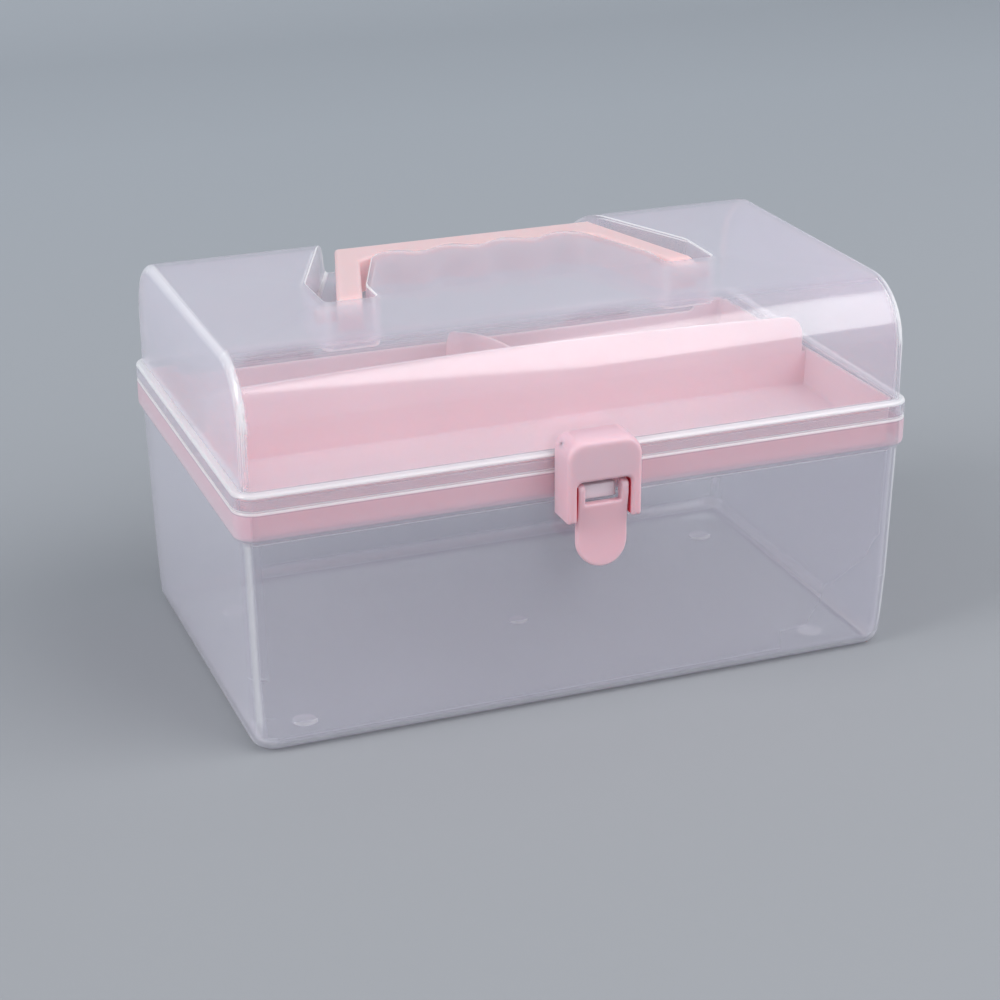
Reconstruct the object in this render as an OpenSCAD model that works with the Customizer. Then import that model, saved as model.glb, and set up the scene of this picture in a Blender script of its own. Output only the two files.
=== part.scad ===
// Clear carrying case with a lift-out tray, a folding handle and a hooded front latch.
// Millimetres. The origin is the centre of the underside: +X runs along the case,
// +Y points to the hinge side and +Z is up. Everything is drawn closed, at rest.

/* [Case] */
// Length over the rim band
rim_l = 260; // [230:1:300]
// Depth over the rim band, front to back
rim_w = 158; // [150:1:190]
// Height of the closed case
case_h = 145.6; // [144.6:0.2:165]
// Height of the seam between box and lid
seam_z = 95; // [90:0.5:96]
// Wall of the box and of the lid
wall = 1.6; // [1.2:0.1:2]
// Height of the rim band below the seam
rim_h = 11.5; // [10:0.5:13]
// Overhang of the rim band past the box wall
rim_step = 1.75; // [1.2:0.05:2.4]
// Height over which the rim band swells out of the box wall
rim_flare_h = 3; // [2:0.5:4]
// Wall of the rim band
rim_wall = 2.6; // [2.4:0.1:3.2]
// Lean of each box wall, top to bottom
draft = 1.6; // [0.5:0.1:3]
// Corner radius of the rim band in plan
rim_corner_r = 8; // [6:0.5:12]
// Radius of the bottom edge
bottom_r = 6; // [3:0.5:7]
// Height of the locating lip above the seam
lip_h = 3.4; // [2:0.1:4]
// Thickness of the locating lip
lip_t = 1; // [0.8:0.1:1.2]
// Gap between the lip and the lid's flange
lip_gap = 0.3; // [0.2:0.05:0.5]
// Width of the ledge that carries the tray
ledge_w = 5.5; // [4.5:0.25:9]
// Thickness of the tray ledge
ledge_t = 1.6; // [1.2:0.1:2.5]
// Radius of the round moulding marks in the floor
mark_r = 4.8; // [3:0.2:6]
// Height of the round moulding marks
mark_h = 0.5; // [0.3:0.1:1]
// Distance of the marks from the rim's ends
mark_inset_x = 27; // [20:1:40]
// Distance of the marks from the rim's front and back
mark_inset_y = 27.5; // [20:0.5:40]

/* [Lid] */
// Gap in the seam under the lid
seam_gap = 0.2; // [0.1:0.05:0.4]
// Height of the lid's flange above the seam
flange_h = 6.5; // [6:0.25:8]
// Step from the flange in to the lid's wall
lid_step = 2.8; // [2:0.1:3.4]
// Radius of the front and back shoulders
shoulder_r = 24; // [18:1:30]
// Radius of the edges round the flat ends
end_r = 3.5; // [2:0.5:5]

/* [Handle recess] */
// Width of the recess across its pivots
recess_w = 154.6; // [145:0.2:160]
// Distance of the recess's front wall in front of the centre
recess_front = 14.5; // [13.5:0.5:20]
// Length of the straight part of the side walls
recess_straight = 25.5; // [18:0.5:30]
// Run-in of the side walls behind that, per millimetre
recess_slant = 0.41; // [0.36:0.01:0.43]
// Depth of the recess
recess_d = 17.5; // [16:0.1:18.5]
// Width of the island between the handle's arms
island_w = 115; // [110:0.5:117]
// Length of the straight part of the island's sides
island_straight = 14.5; // [10:0.5:18]
// Run-in of the island's sides behind that, per millimetre
island_slant = 0.39; // [0.37:0.01:0.43]
// Distance of the island's wavy back edge behind the centre
island_back = 37.3; // [33:0.1:38]
// Corner radius of the island and of the handle's inside
island_r = 4; // [2:0.5:6]

/* [Handle] */
// Distance of the handle's back edge behind the centre
handle_back = 52.2; // [51:0.2:56]
// Length of the handle's straight back edge
handle_l = 106.6; // [104:0.2:108]
// Spread of the arms towards the front, per millimetre
arm_slant = 0.294; // [0.28:0.002:0.3]
// Width of each arm, along the case
arm_w = 9.8; // [9:0.1:10.5]
// Thickness of the handle
handle_t = 13; // [10:0.2:13.4]
// Wall of the hollow underside
handle_wall = 2; // [1.6:0.1:3]
// Drop of the handle below the lid's top
handle_drop = 1; // [0.5:0.1:2]
// Corner radius of the handle's back corners
handle_r = 2.5; // [1.5:0.5:4]
// Spacing of the finger grooves
groove_pitch = 23.3; // [20:0.1:24]
// Depth of the finger grooves
groove_d = 4.6; // [2:0.2:6]
// Gap between the island and the grip
grip_gap = 1.4; // [1.2:0.1:2]
// Distance of the handle's pivots in front of the centre
handle_pivot = 6.5; // [6:0.1:7.5]
// Radius of the handle's pivot pegs
handle_peg_r = 3; // [2:0.1:3.5]
// Running clearance round the moulded pegs and the hinge pins
peg_gap = 0.05; // [0.02:0.01:0.1]

/* [Tray] */
// Height of the tray's front wall
tray_h = 17.5; // [16:0.5:20]
// Fall of the tray's rim from front to back
tray_fall = 3; // [1:0.5:5]
// Dip of the back wall between the tray's corners
tray_dip = 4.6; // [2:0.2:6]
// Wall of the tray
tray_wall = 1.4; // [1:0.1:2]
// Gap between the tray's edge and the inside of the lid
tray_gap = 0.4; // [0.3:0.05:0.8]
// Lean of the tray's walls, top to bottom
tray_draft = 0.8; // [0.4:0.1:1.2]
// Corner radius of the tray in plan
tray_r = 4; // [3:0.5:6]
// Radius of the tray's bottom edge
tray_bottom_r = 1.5; // [1:0.25:2.5]
// Gap between the tray and its ledge
tray_seat_gap = 0.2; // [0.1:0.05:0.3]
// Height of the two dividers from the tray's underside
divider_h = 32.5; // [26:0.5:32.5]
// Distance of the long divider in front of the centre
divider_front = 5; // [0:0.5:15]
// Distance of the long divider's raised ends from the tray's ends
divider_in = 3.5; // [2:0.5:8]
// Fall of the long divider's top edge towards its ends
divider_arch = 2.4; // [1:0.2:4]
// Radius of the long divider's top corners
divider_r = 7; // [4:0.5:9]
// Radius of the cross divider's top edge, which falls towards the back
fin_r = 300; // [250:10:400]
// Radius of the cross divider's back top corner
fin_end_r = 11; // [6:0.5:12]

/* [Latch] */
// Width of the latch hood
hood_w = 28.5; // [28:0.5:34]
// Reach of the hood's front face from the rim band
hood_reach = 13; // [12.8:0.1:14]
// Height of the hood's back edge above the seam
hood_top = 15; // [14.8:0.1:16]
// Fall of the hood's top towards the front
hood_fall = 1.8; // [0.5:0.1:2]
// Depth of the hood's legs below the seam
hood_bottom = 16.5; // [14:0.5:18]
// Wall of the hood
hood_wall = 1.6; // [1.2:0.1:1.8]
// Width of each of the hood's legs
leg_w = 3.85; // [3.5:0.05:4.2]
// Radius of the hood's upper corners, seen from the front
hood_r = 7; // [5:0.5:9]
// Radius of the hood's upper front edge
hood_edge_r = 3; // [2:0.5:4]
// Depth of the legs from the hood's front face
leg_t = 5.6; // [5.6:0.1:6]
// Distance of the window's upper edge below the seam
window_top = 1.4; // [1:0.1:1.8]
// Reach of the hood's axis from the rim band
hood_axis_reach = 3.5; // [3.4:0.1:4]
// Height of the hood's axis above the seam
hood_axis_up = 10.3; // [10.2:0.1:11]
// Radius of the hood's pegs
hood_peg_r = 1.2; // [1:0.05:1.3]
// Radius of the barrel on the lid that takes the hood's pegs
barrel_r = 2.2; // [2:0.05:2.3]
// Engagement of each hood peg in the barrel
hood_peg_grip = 3; // [2:0.25:5]
// Reach of the lever's axis from the rim band
lever_axis_reach = 9.5; // [9.3:0.1:9.6]
// Depth of the lever's axis below the seam
lever_axis_down = 5; // [4.6:0.1:5.4]
// Radius of the lever's arm ends
lever_end_r = 2.4; // [2:0.1:2.5]
// Side gap between the lever and the hood's legs
lever_gap = 0.7; // [0.4:0.05:1]
// Width of each lever arm
lever_arm_w = 2.8; // [2.2:0.1:3.2]
// Radius of the lever's pegs
lever_peg_r = 1.1; // [0.9:0.05:1.3]
// Engagement of each lever peg in the hood's leg
lever_peg_grip = 2; // [1.2:0.1:2.6]
// Depth of the cross bar's upper face below the lever's axis
bar_down = 5.4; // [5.2:0.1:6]
// Height of the cross bar
bar_t = 3; // [2:0.1:4]
// Depth of the tongue's tip below the lever's axis
tongue_down = 29.6; // [26:0.2:32]
// Thickness of the tongue
tongue_t = 2.8; // [2.2:0.1:3.2]
// Reach of the catch from the rim band
catch_reach = 7.2; // [6:0.1:7.2]
// Height of the catch
catch_h = 5.5; // [4:0.25:6]
// Side gap between the catch and the lever's arms
catch_gap = 0.5; // [0.4:0.05:1]
// Gap between the catch and the cross bar below it
bar_gap = 0.4; // [0.3:0.05:0.8]

/* [Hinges] */
// Distance of each hinge's middle from the centre
hinge_x = 70; // [40:1:90]
// Distance of the hinge axis behind the rim band
hinge_out = 3.7; // [3.6:0.1:5]
// Outer radius of the knuckles
knuckle_r = 3.2; // [2.8:0.1:3.4]
// Length of the lid's knuckle
knuckle_l = 16; // [10:0.5:24]
// Length of each of the box's two lugs
lug_l = 6; // [4:0.5:10]
// Side gap between knuckle and lugs
knuckle_gap = 0.3; // [0.2:0.05:0.6]
// Radius of the hinge pins
hinge_pin_r = 1.25; // [1:0.05:1.5]

/* [Hidden] */
clear_tint = [0.80, 0.83, 0.90, 0.45];
pink = [0.93, 0.71, 0.76];
steel = [0.72, 0.73, 0.75];
thin = 0.01;
over = 0.5;
arc_fn = 48;
hull_fn = 32;
quarter = [0, 30, 60, 90];

step_z = seam_z - rim_h;
body_l = rim_l - 2 * rim_step;
body_w = rim_w - 2 * rim_step;
body_r = rim_corner_r - rim_step / 2;
ledge_top = step_z - tray_seat_gap;
flange_wall = rim_wall - lip_t - lip_gap;
flange_top = seam_z + flange_h;
lid_l = rim_l - 2 * lid_step;
lid_w = rim_w - 2 * lid_step;
lid_corner_r = max(end_r - wall, 1);

recess_floor = case_h - recess_d;
recess_side_y = recess_straight - recess_front;
island_side_y = island_straight - recess_front;
handle_top = case_h - handle_drop;
handle_mid = handle_top - handle_t / 2;

tray_l = lid_l - 2 * wall - 2 * tray_gap;
tray_w = lid_w - 2 * wall - 2 * tray_gap;
tray_z = step_z;
divider_top = tray_z + divider_h;
dip_in = 16;
dip_run = 6;
fin_apex = 30;
fin_top = divider_top - 0.6;

rim_front = -rim_w / 2;
hood_front = rim_front - hood_reach;
hood_axis_y = rim_front - hood_axis_reach;
hood_axis_z = seam_z + hood_axis_up;
hood_clear = 0.4;
hood_back = rim_front - hood_clear;
hood_inner_w = hood_w - 2 * hood_wall;
window_w = hood_w - 2 * leg_w;
window_z = seam_z - window_top;
hood_low = seam_z - hood_bottom;
head_r = 4.9;
head_back = hood_axis_y + head_r - 0.7;
hood_shoulder_z = hood_axis_z - head_r + 0.9;
neck_drop = 0.9;
lever_axis_y = rim_front - lever_axis_reach;
lever_axis_z = seam_z - lever_axis_down;
lever_w = window_w - 2 * lever_gap;
bar_z = lever_axis_z - bar_down;
tongue_tip = lever_axis_z - tongue_down;
catch_w = lever_w - 2 * lever_arm_w - 2 * catch_gap;
catch_z = bar_z + bar_gap;
barrel_l = hood_inner_w - 4;
bend_out = 1.6;
bend_back = 0.6;

hinge_y = rim_w / 2 + hinge_out;
hinge_z = seam_z;
web_gap = 1.2;
sink = 1;
pin_l = knuckle_l + 2 * knuckle_gap + 2 * lug_l;

// Rectangle with round corners, centred
module rounded_rect(l, w, r) {
    square([l - 2 * r, w], center = true);
    square([l, w - 2 * r], center = true);
    for (x = [-1, 1], y = [-1, 1])
        translate([x * (l / 2 - r), y * (w / 2 - r)]) circle(r);
}

// Upright slab with round corners, from height z
module slab(l, w, r, z, h) {
    translate([0, 0, z]) linear_extrude(h) rounded_rect(l, w, r);
}

// Prism of the children's Y-Z outline, centred on X
module across(l) {
    translate([-l / 2, 0, 0]) rotate([90, 0, 90]) linear_extrude(l) children();
}

// Round bar along X, centred at (x, y, z)
module bar_x(r, l, x, y, z) {
    translate([x, y, z]) rotate([0, 90, 0]) cylinder(r = r, h = l, center = true, $fn = arc_fn);
}

// Drafted tub with a round bottom edge: full size at height top_z
module tub(l, w, r, lean, edge_r, z, top_z) {
    hull() {
        for (a = quarter) {
            inset = lean + edge_r * (1 - sin(a));
            plan_r = max(r + lean - inset, 1);
            slab(l - 2 * inset, w - 2 * inset, plan_r, z + edge_r * (1 - cos(a)), thin, $fn = hull_fn);
        }
        slab(l, w, r, top_z - thin, thin, $fn = hull_fn);
    }
}

// ---- Box ----

module base_outer() {
    tub(body_l, body_w, body_r, draft, bottom_r, 0, step_z);
    hull() {
        slab(body_l, body_w, body_r, step_z - thin, thin, $fn = hull_fn);
        for (a = quarter) {
            grow = 2 * rim_step * sin(a);
            z = step_z + rim_flare_h * (1 - cos(a));
            slab(body_l + grow, body_w + grow, rim_corner_r, z, thin, $fn = hull_fn);
        }
        slab(rim_l, rim_w, rim_corner_r, seam_z - thin, thin, $fn = hull_fn);
    }
    lip_out = 2 * (rim_wall - lip_t);
    lip_r = rim_corner_r - lip_out / 2;
    slab(rim_l - lip_out, rim_w - lip_out, lip_r, seam_z - over, lip_h + over, $fn = arc_fn);
}

module base_cavity() {
    inner_r = body_r - wall;
    under_ledge = ledge_top - ledge_t;
    tub(body_l - 2 * wall, body_w - 2 * wall, inner_r, draft, bottom_r - wall / 2, wall, under_ledge);
    opening = 2 * (wall + ledge_w);
    slab(body_l - opening, body_w - opening, inner_r, under_ledge - over, ledge_t + 2 * over, $fn = arc_fn);
    band = 2 * rim_wall;
    band_h = seam_z + lip_h + over - ledge_top;
    slab(rim_l - band, rim_w - band, rim_corner_r - rim_wall, ledge_top, band_h, $fn = arc_fn);
}

// Two lugs of one hinge, with their webs to the rim band
module box_lugs() {
    for (s = [-1, 1]) {
        x = s * (knuckle_l / 2 + knuckle_gap + lug_l / 2);
        bar_x(knuckle_r, lug_l, x, hinge_y, hinge_z);
        translate([x - lug_l / 2, rim_w / 2 - sink, hinge_z - 2 * knuckle_r])
            cube([lug_l, hinge_out + sink, 2 * knuckle_r - web_gap]);
    }
}

module catch_block() {
    translate([-catch_w / 2, rim_front - catch_reach, catch_z])
        cube([catch_w, catch_reach + sink, catch_h]);
}

module floor_marks() {
    for (x = [-1, 1], y = [-1, 1])
        translate([x * (rim_l / 2 - mark_inset_x), y * (rim_w / 2 - mark_inset_y), wall - thin])
            cylinder(r = mark_r, h = mark_h, $fn = arc_fn);
    translate([0, 0, wall - thin]) difference() {
        cylinder(r = mark_r * 0.8, h = mark_h, $fn = arc_fn);
        translate([0, 0, mark_h / 2]) cylinder(r = mark_r * 0.5, h = mark_h, $fn = arc_fn);
    }
}

module base_box() color(clear_tint) {
    difference() {
        union() {
            base_outer();
            for (s = [-1, 1]) translate([s * hinge_x, 0, 0]) box_lugs();
            catch_block();
        }
        base_cavity();
        for (s = [-1, 1])
            bar_x(hinge_pin_r + peg_gap, pin_l + 2 * over, s * hinge_x, hinge_y, hinge_z);
    }
    floor_marks();
}

// ---- Lid ----

// Y-Z outline of the dome above height low, drawn in from the outside by inset
module dome_outline(inset, low) {
    r = shoulder_r - inset;
    half = lid_w / 2 - inset;
    top = case_h - inset;
    intersection() {
        union() {
            translate([-half, low]) square([2 * half, top - r - low]);
            translate([-(half - r), low]) square([2 * (half - r), top - low]);
            for (s = [-1, 1]) translate([s * (half - r), top - r]) circle(r, $fn = 2 * arc_fn);
        }
        translate([-half, low]) square([2 * half, top - low]);
    }
}

// Dome with round edges along its flat ends
module dome(inset) {
    edge = max(end_r - inset, 1);
    low = flange_top - wall - inset;
    hull() for (a = [0, 30, 60, 90])
        across(lid_l - 2 * inset - 2 * edge * (1 - sin(a))) dome_outline(inset + edge * (1 - cos(a)), low);
}

// Outer plan of the recess, running out past the back of the lid
function recess_x(y) = recess_w / 2 - recess_slant * max(y - recess_side_y, 0);
module recess_plan(grow) {
    back = rim_w / 2;
    polygon([
        [-recess_w / 2 - grow, -recess_front - grow], [-recess_w / 2 - grow, recess_side_y],
        [-recess_x(back) - grow, back], [recess_x(back) + grow, back],
        [recess_w / 2 + grow, recess_side_y], [recess_w / 2 + grow, -recess_front - grow]
    ]);
}

// Wavy edge shared by the island and the grip
function wave(x) = -groove_d / 2 * cos(360 * x / groove_pitch);
function wave_points(y, half) = [for (i = [-24:24]) let (x = i / 24 * half) [x, y + wave(x)]];

// Plan of the island between the arms
function island_x(y) = island_w / 2 - island_slant * max(y - island_side_y, 0);
module island_plan(shrink) {
    side = island_back - island_r;
    half = island_x(island_back) - 1;
    offset(r = island_r - shrink, $fn = hull_fn) offset(delta = -island_r) polygon(concat(
        [[-island_w / 2, -recess_front - 20], [-island_w / 2, island_side_y], [-island_x(side), side]],
        wave_points(island_back, half),
        [[island_x(side), side], [island_w / 2, island_side_y], [island_w / 2, -recess_front - 20]]
    ));
}

module recess_cut() {
    translate([0, 0, recess_floor]) linear_extrude(recess_d + over) difference() {
        recess_plan(0);
        island_plan(0);
    }
}

module recess_shell() {
    translate([0, 0, recess_floor - wall]) linear_extrude(recess_d) difference() {
        recess_plan(wall);
        island_plan(wall);
    }
}

module flange() {
    low = seam_z + seam_gap;
    difference() {
        slab(rim_l, rim_w, rim_corner_r, low, flange_top - low, $fn = arc_fn);
        slab(rim_l - 2 * flange_wall, rim_w - 2 * flange_wall, rim_corner_r - flange_wall,
            low - over, flange_top - wall - low + over, $fn = arc_fn);
        inside = lid_step + wall;
        slab(rim_l - 2 * inside, rim_w - 2 * inside, lid_corner_r, low, flange_h + over, $fn = arc_fn);
    }
}

module lid_knuckle() {
    bar_x(knuckle_r, knuckle_l, 0, hinge_y, hinge_z);
    translate([-knuckle_l / 2, rim_w / 2 - sink, hinge_z + web_gap])
        cube([knuckle_l, hinge_out + sink, knuckle_r - web_gap]);
}

// Barrel for the hood's pegs, with a neck down to the flange
module hood_barrel() {
    bar_x(barrel_r, barrel_l, 0, hood_axis_y, hood_axis_z);
    neck_y = rim_front + flange_wall / 2;
    neck_z = flange_top - neck_drop;
    front = hood_axis_y - 0.8 * barrel_r;
    across(barrel_l) polygon([
        [front, hood_axis_z - 0.5 * barrel_r],
        [hood_axis_y + 0.4 * barrel_r, hood_axis_z - 0.85 * barrel_r],
        [hood_axis_y + 0.98 * barrel_r, neck_z], [neck_y, neck_z],
        [neck_y, seam_z + lip_h - lip_t], [front, hood_axis_z - 1.6 * barrel_r]
    ]);
}

module lid() color(clear_tint) {
    difference() {
        union() {
            difference() {
                dome(0);
                difference() {
                    dome(wall);
                    recess_shell();
                }
                recess_cut();
            }
            flange();
            for (s = [-1, 1]) translate([s * hinge_x, 0, 0]) lid_knuckle();
            hood_barrel();
        }
        for (s = [-1, 1]) {
            bar_x(hinge_pin_r + peg_gap, knuckle_l + 2 * over, s * hinge_x, hinge_y, hinge_z);
            bar_x(handle_peg_r + peg_gap, 4 * wall, s * (recess_w / 2 + wall), -handle_pivot, handle_mid);
            bore_l = 2 * hood_peg_grip + 2 * over;
            bar_x(hood_peg_r + peg_gap, bore_l, s * barrel_l / 2, hood_axis_y, hood_axis_z);
        }
    }
}

// ---- Tray ----

// Height of the cross divider's top edge at depth y
function fin_z(y) = fin_top - fin_r + sqrt(fin_r * fin_r - (y + fin_apex) * (y + fin_apex));

module long_divider() {
    low = tray_z + tray_wall / 2;
    wall_l = tray_l - tray_wall - tray_draft;
    half = tray_l / 2 - divider_in;
    end_x = half - divider_r;
    end_z = divider_top - divider_arch - divider_r;
    arch_r = (end_x * end_x / divider_arch + divider_arch) / 2;
    translate([0, -divider_front + tray_wall / 2, 0]) rotate([90, 0, 0]) linear_extrude(tray_wall) {
        translate([-wall_l / 2, low]) square([wall_l, tray_h - tray_fall]);
        intersection() {
            union() {
                translate([-half, low]) square([2 * half, end_z - low]);
                translate([-end_x, low]) square([2 * end_x, divider_top - low]);
                for (s = [-1, 1]) translate([s * end_x, end_z]) circle(divider_r, $fn = arc_fn);
            }
            translate([0, divider_top - arch_r]) circle(arch_r, $fn = 24 * arc_fn);
        }
    }
}

module cross_divider() {
    low = tray_z + tray_wall / 2;
    run = tray_w / 2 - tray_wall / 2 - tray_draft / 2;
    end_y = run - fin_end_r;
    end_z = fin_z(end_y) - fin_end_r;
    across(tray_wall) intersection() {
        union() {
            translate([-divider_front, low]) square([end_y + divider_front, divider_top - low]);
            translate([-divider_front, low]) square([run + divider_front, end_z - low]);
            translate([end_y, end_z]) circle(fin_end_r, $fn = arc_fn);
        }
        translate([-divider_front, low]) square([run + divider_front, divider_top - low]);
        translate([-fin_apex, fin_top - fin_r]) circle(fin_r, $fn = 24 * arc_fn);
    }
}

// Room above the sloping rim, with the dip in the back wall
module above_rim() {
    front_z = tray_z + tray_h;
    back_z = front_z - tray_fall;
    across(tray_l + 2) polygon([
        [-tray_w / 2 - 1, front_z], [tray_w / 2 + 1, back_z],
        [tray_w / 2 + 1, front_z + 1], [-tray_w / 2 - 1, front_z + 1]
    ]);
    half = tray_l / 2 - dip_in;
    translate([0, tray_w, 0]) rotate([90, 0, 0]) linear_extrude(tray_w - tray_w / 2 + 3 * tray_wall) polygon([
        [-half, back_z - tray_dip], [half, back_z - tray_dip],
        [half + dip_run, back_z], [half + 2 * dip_run, front_z], [-half - 2 * dip_run, front_z],
        [-half - dip_run, back_z]
    ]);
}

module tray() color(pink) {
    difference() {
        tub(tray_l, tray_w, tray_r, tray_draft, tray_bottom_r, tray_z, tray_z + tray_h);
        inner_r = tray_r - tray_wall;
        tub(tray_l - 2 * tray_wall, tray_w - 2 * tray_wall, inner_r, tray_draft, tray_bottom_r / 2,
            tray_z + tray_wall, tray_z + tray_h + thin);
        above_rim();
    }
    long_divider();
    cross_divider();
}

// ---- Handle ----

// Outside of the handle at depth y, and inside of its arms
function arm_out(y) = handle_l / 2 + arm_slant * (handle_back - y);
function arm_in(y) = arm_out(y) - arm_w;

module handle_plan(shrink) {
    front = -handle_pivot - handle_t;
    side = island_back + grip_gap - island_r;
    offset(r = -shrink) difference() {
        offset(r = handle_r, $fn = hull_fn) offset(delta = -handle_r) polygon([
            [-arm_out(front), front], [-handle_l / 2, handle_back],
            [handle_l / 2, handle_back], [arm_out(front), front]
        ]);
        offset(r = island_r, $fn = hull_fn) offset(delta = -island_r) polygon(concat(
            [[-arm_in(front - 20), front - 20], [-arm_in(side), side]],
            wave_points(island_back + grip_gap, arm_in(side) - 2),
            [[arm_in(side), side], [arm_in(front - 20), front - 20]]
        ));
    }
}

module handle() color(pink) {
    r = handle_t / 2;
    difference() {
        intersection() {
            translate([0, 0, handle_mid - r]) linear_extrude(handle_t) handle_plan(0);
            across(recess_w) {
                translate([-handle_pivot, handle_mid]) circle(r, $fn = arc_fn);
                translate([-handle_pivot, handle_mid - r]) square([handle_pivot + handle_back, handle_t]);
            }
        }
        intersection() {
            translate([0, 0, handle_mid - r - over]) linear_extrude(handle_t - handle_wall + over)
                handle_plan(handle_wall);
            across(recess_w)
                translate([-handle_pivot + r, 0]) square([handle_back, case_h]);
        }
    }
    peg_in = arm_out(-handle_pivot) - handle_wall;
    peg_out = recess_w / 2 + wall * 0.9;
    for (s = [-1, 1])
        bar_x(handle_peg_r, peg_out - peg_in, s * (peg_in + peg_out) / 2, -handle_pivot, handle_mid);
}

// ---- Latch ----

// Front outline of the hood
module hood_face() {
    top = seam_z + hood_top;
    translate([-hood_w / 2, hood_low]) square([hood_w, top - hood_r - hood_low]);
    translate([-hood_w / 2 + hood_r, hood_low]) square([hood_w - 2 * hood_r, top - hood_low]);
    for (s = [-1, 1]) translate([s * (hood_w / 2 - hood_r), top - hood_r]) circle(hood_r, $fn = arc_fn);
}

// Side outline of the hood's shell, inset on its front and top
module hood_side(inset) {
    top = seam_z + hood_top;
    edge = max(hood_edge_r - inset, 0.5);
    offset(r = edge, $fn = hull_fn) offset(delta = -edge) polygon([
        [hood_front + inset, hood_low - edge], [hood_front + inset, top - hood_fall - inset],
        [hood_axis_y, top - hood_fall / 3 - inset], [head_back, top - inset],
        [head_back, hood_axis_z], [hood_back, hood_shoulder_z], [hood_back, hood_low - edge]
    ]);
}

// Side outline with the head cut round, so that it swings clear of the lid
module swing_side() {
    intersection() {
        hood_side(0);
        union() {
            translate([hood_axis_y, hood_axis_z]) circle(head_r, $fn = arc_fn);
            translate([hood_front, hood_low]) square([hood_axis_y - hood_front, hood_top + hood_bottom]);
            translate([hood_front, hood_low]) square([hood_back - hood_front, hood_shoulder_z - hood_low]);
        }
    }
}

module latch_hood() color(pink) {
    inner_top = seam_z + hood_top - hood_fall / 3 - hood_wall;
    difference() {
        intersection() {
            translate([0, rim_front + hood_reach, 0])
                rotate([90, 0, 0]) linear_extrude(3 * hood_reach) hood_face();
            across(hood_w) swing_side();
        }
        // hollow behind the front and under the top
        across(hood_inner_w) intersection() {
            hood_side(hood_wall);
            translate([hood_front, window_z + hood_wall]) square([2 * hood_reach, hood_top]);
        }
        // open back, which clears the barrel and the rim
        across(hood_inner_w) translate([hood_axis_y, hood_low - over])
            square([hood_reach, inner_top - hood_low + over]);
        // window and the slot between the legs
        translate([-window_w / 2, hood_front - over, hood_low - over])
            cube([window_w, 2 * hood_reach, window_z - hood_low + over]);
        // room behind the legs
        translate([-hood_inner_w / 2, hood_front + leg_t, hood_low - over])
            cube([hood_inner_w, hood_reach, window_z + 2 * hood_wall - hood_low + over]);
        bore_l = 2 * lever_peg_grip + 2 * over;
        for (s = [-1, 1])
            bar_x(lever_peg_r + peg_gap, bore_l, s * window_w / 2, lever_axis_y, lever_axis_z);
    }
    peg_in = barrel_l / 2 - hood_peg_grip;
    peg_out = hood_inner_w / 2 + hood_wall / 2;
    for (s = [-1, 1])
        bar_x(hood_peg_r, peg_out - peg_in, s * (peg_in + peg_out) / 2, hood_axis_y, hood_axis_z);
}

// Bend of the tongue towards the box, from 0 at its root to 1 at its tip
function tongue_bend(t) = bend_out * sin(160 * t) - bend_back * t * t;

// Side outline of the lever, about its axis
module lever_side() {
    steps = 16;
    low = -lever_end_r - 0.6;
    back = tongue_t - lever_end_r;
    drop = (tongue_down + low) / steps;
    circle(lever_end_r, $fn = arc_fn);
    translate([-lever_end_r, -bar_down - bar_t]) square([2 * lever_end_r - 0.4, bar_down + bar_t]);
    polygon(concat(
        [for (i = [0:steps]) [tongue_bend(i / steps) - lever_end_r, low - i * drop]],
        [for (i = [steps:-1:0]) [tongue_bend(i / steps) + back, low - i * drop]]
    ));
}

// Front outline of the lever: arms, cross bar and round tongue
module lever_face() {
    r = lever_w / 2;
    difference() {
        union() {
            translate([-r, -tongue_down + r]) square([lever_w, tongue_down - r + lever_end_r]);
            translate([0, -tongue_down + r]) circle(r, $fn = arc_fn);
        }
        translate([-r + lever_arm_w, -bar_down])
            square([lever_w - 2 * lever_arm_w, bar_down + 2 * lever_end_r]);
    }
}

module latch_lever() color(pink) {
    peg_in = lever_w / 2 - sink;
    peg_out = window_w / 2 + lever_peg_grip;
    translate([0, lever_axis_y, lever_axis_z]) {
        intersection() {
            rotate([90, 0, 0]) linear_extrude(2 * hood_reach, center = true) lever_face();
            across(lever_w) lever_side();
        }
        for (s = [-1, 1]) bar_x(lever_peg_r, peg_out - peg_in, s * (peg_in + peg_out) / 2, 0, 0);
    }
}

// ---- Hinge pins ----

module hinge_pin(side) color(steel) {
    bar_x(hinge_pin_r, pin_l, side * hinge_x, hinge_y, hinge_z);
}

base_box();
lid();
tray();
handle();
latch_hood();
latch_lever();
hinge_pin(-1);  // hinge_pin_left
hinge_pin(1);  // hinge_pin_right
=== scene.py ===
"""Clear carrying case with a lift-out tray, a folding handle and a hooded front latch.

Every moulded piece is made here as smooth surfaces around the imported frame; the two hinge pins keep their
CAD meshes. Shapes are worked out in millimetres and turned into metres when a mesh is made.
"""
import logging
import math
from dataclasses import dataclass, field
from enum import Enum
from typing import Any, Callable, Sequence

import bmesh
import bpy
import numpy as np
from mathutils import Matrix, Vector
from mathutils.geometry import delaunay_2d_cdt


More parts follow.
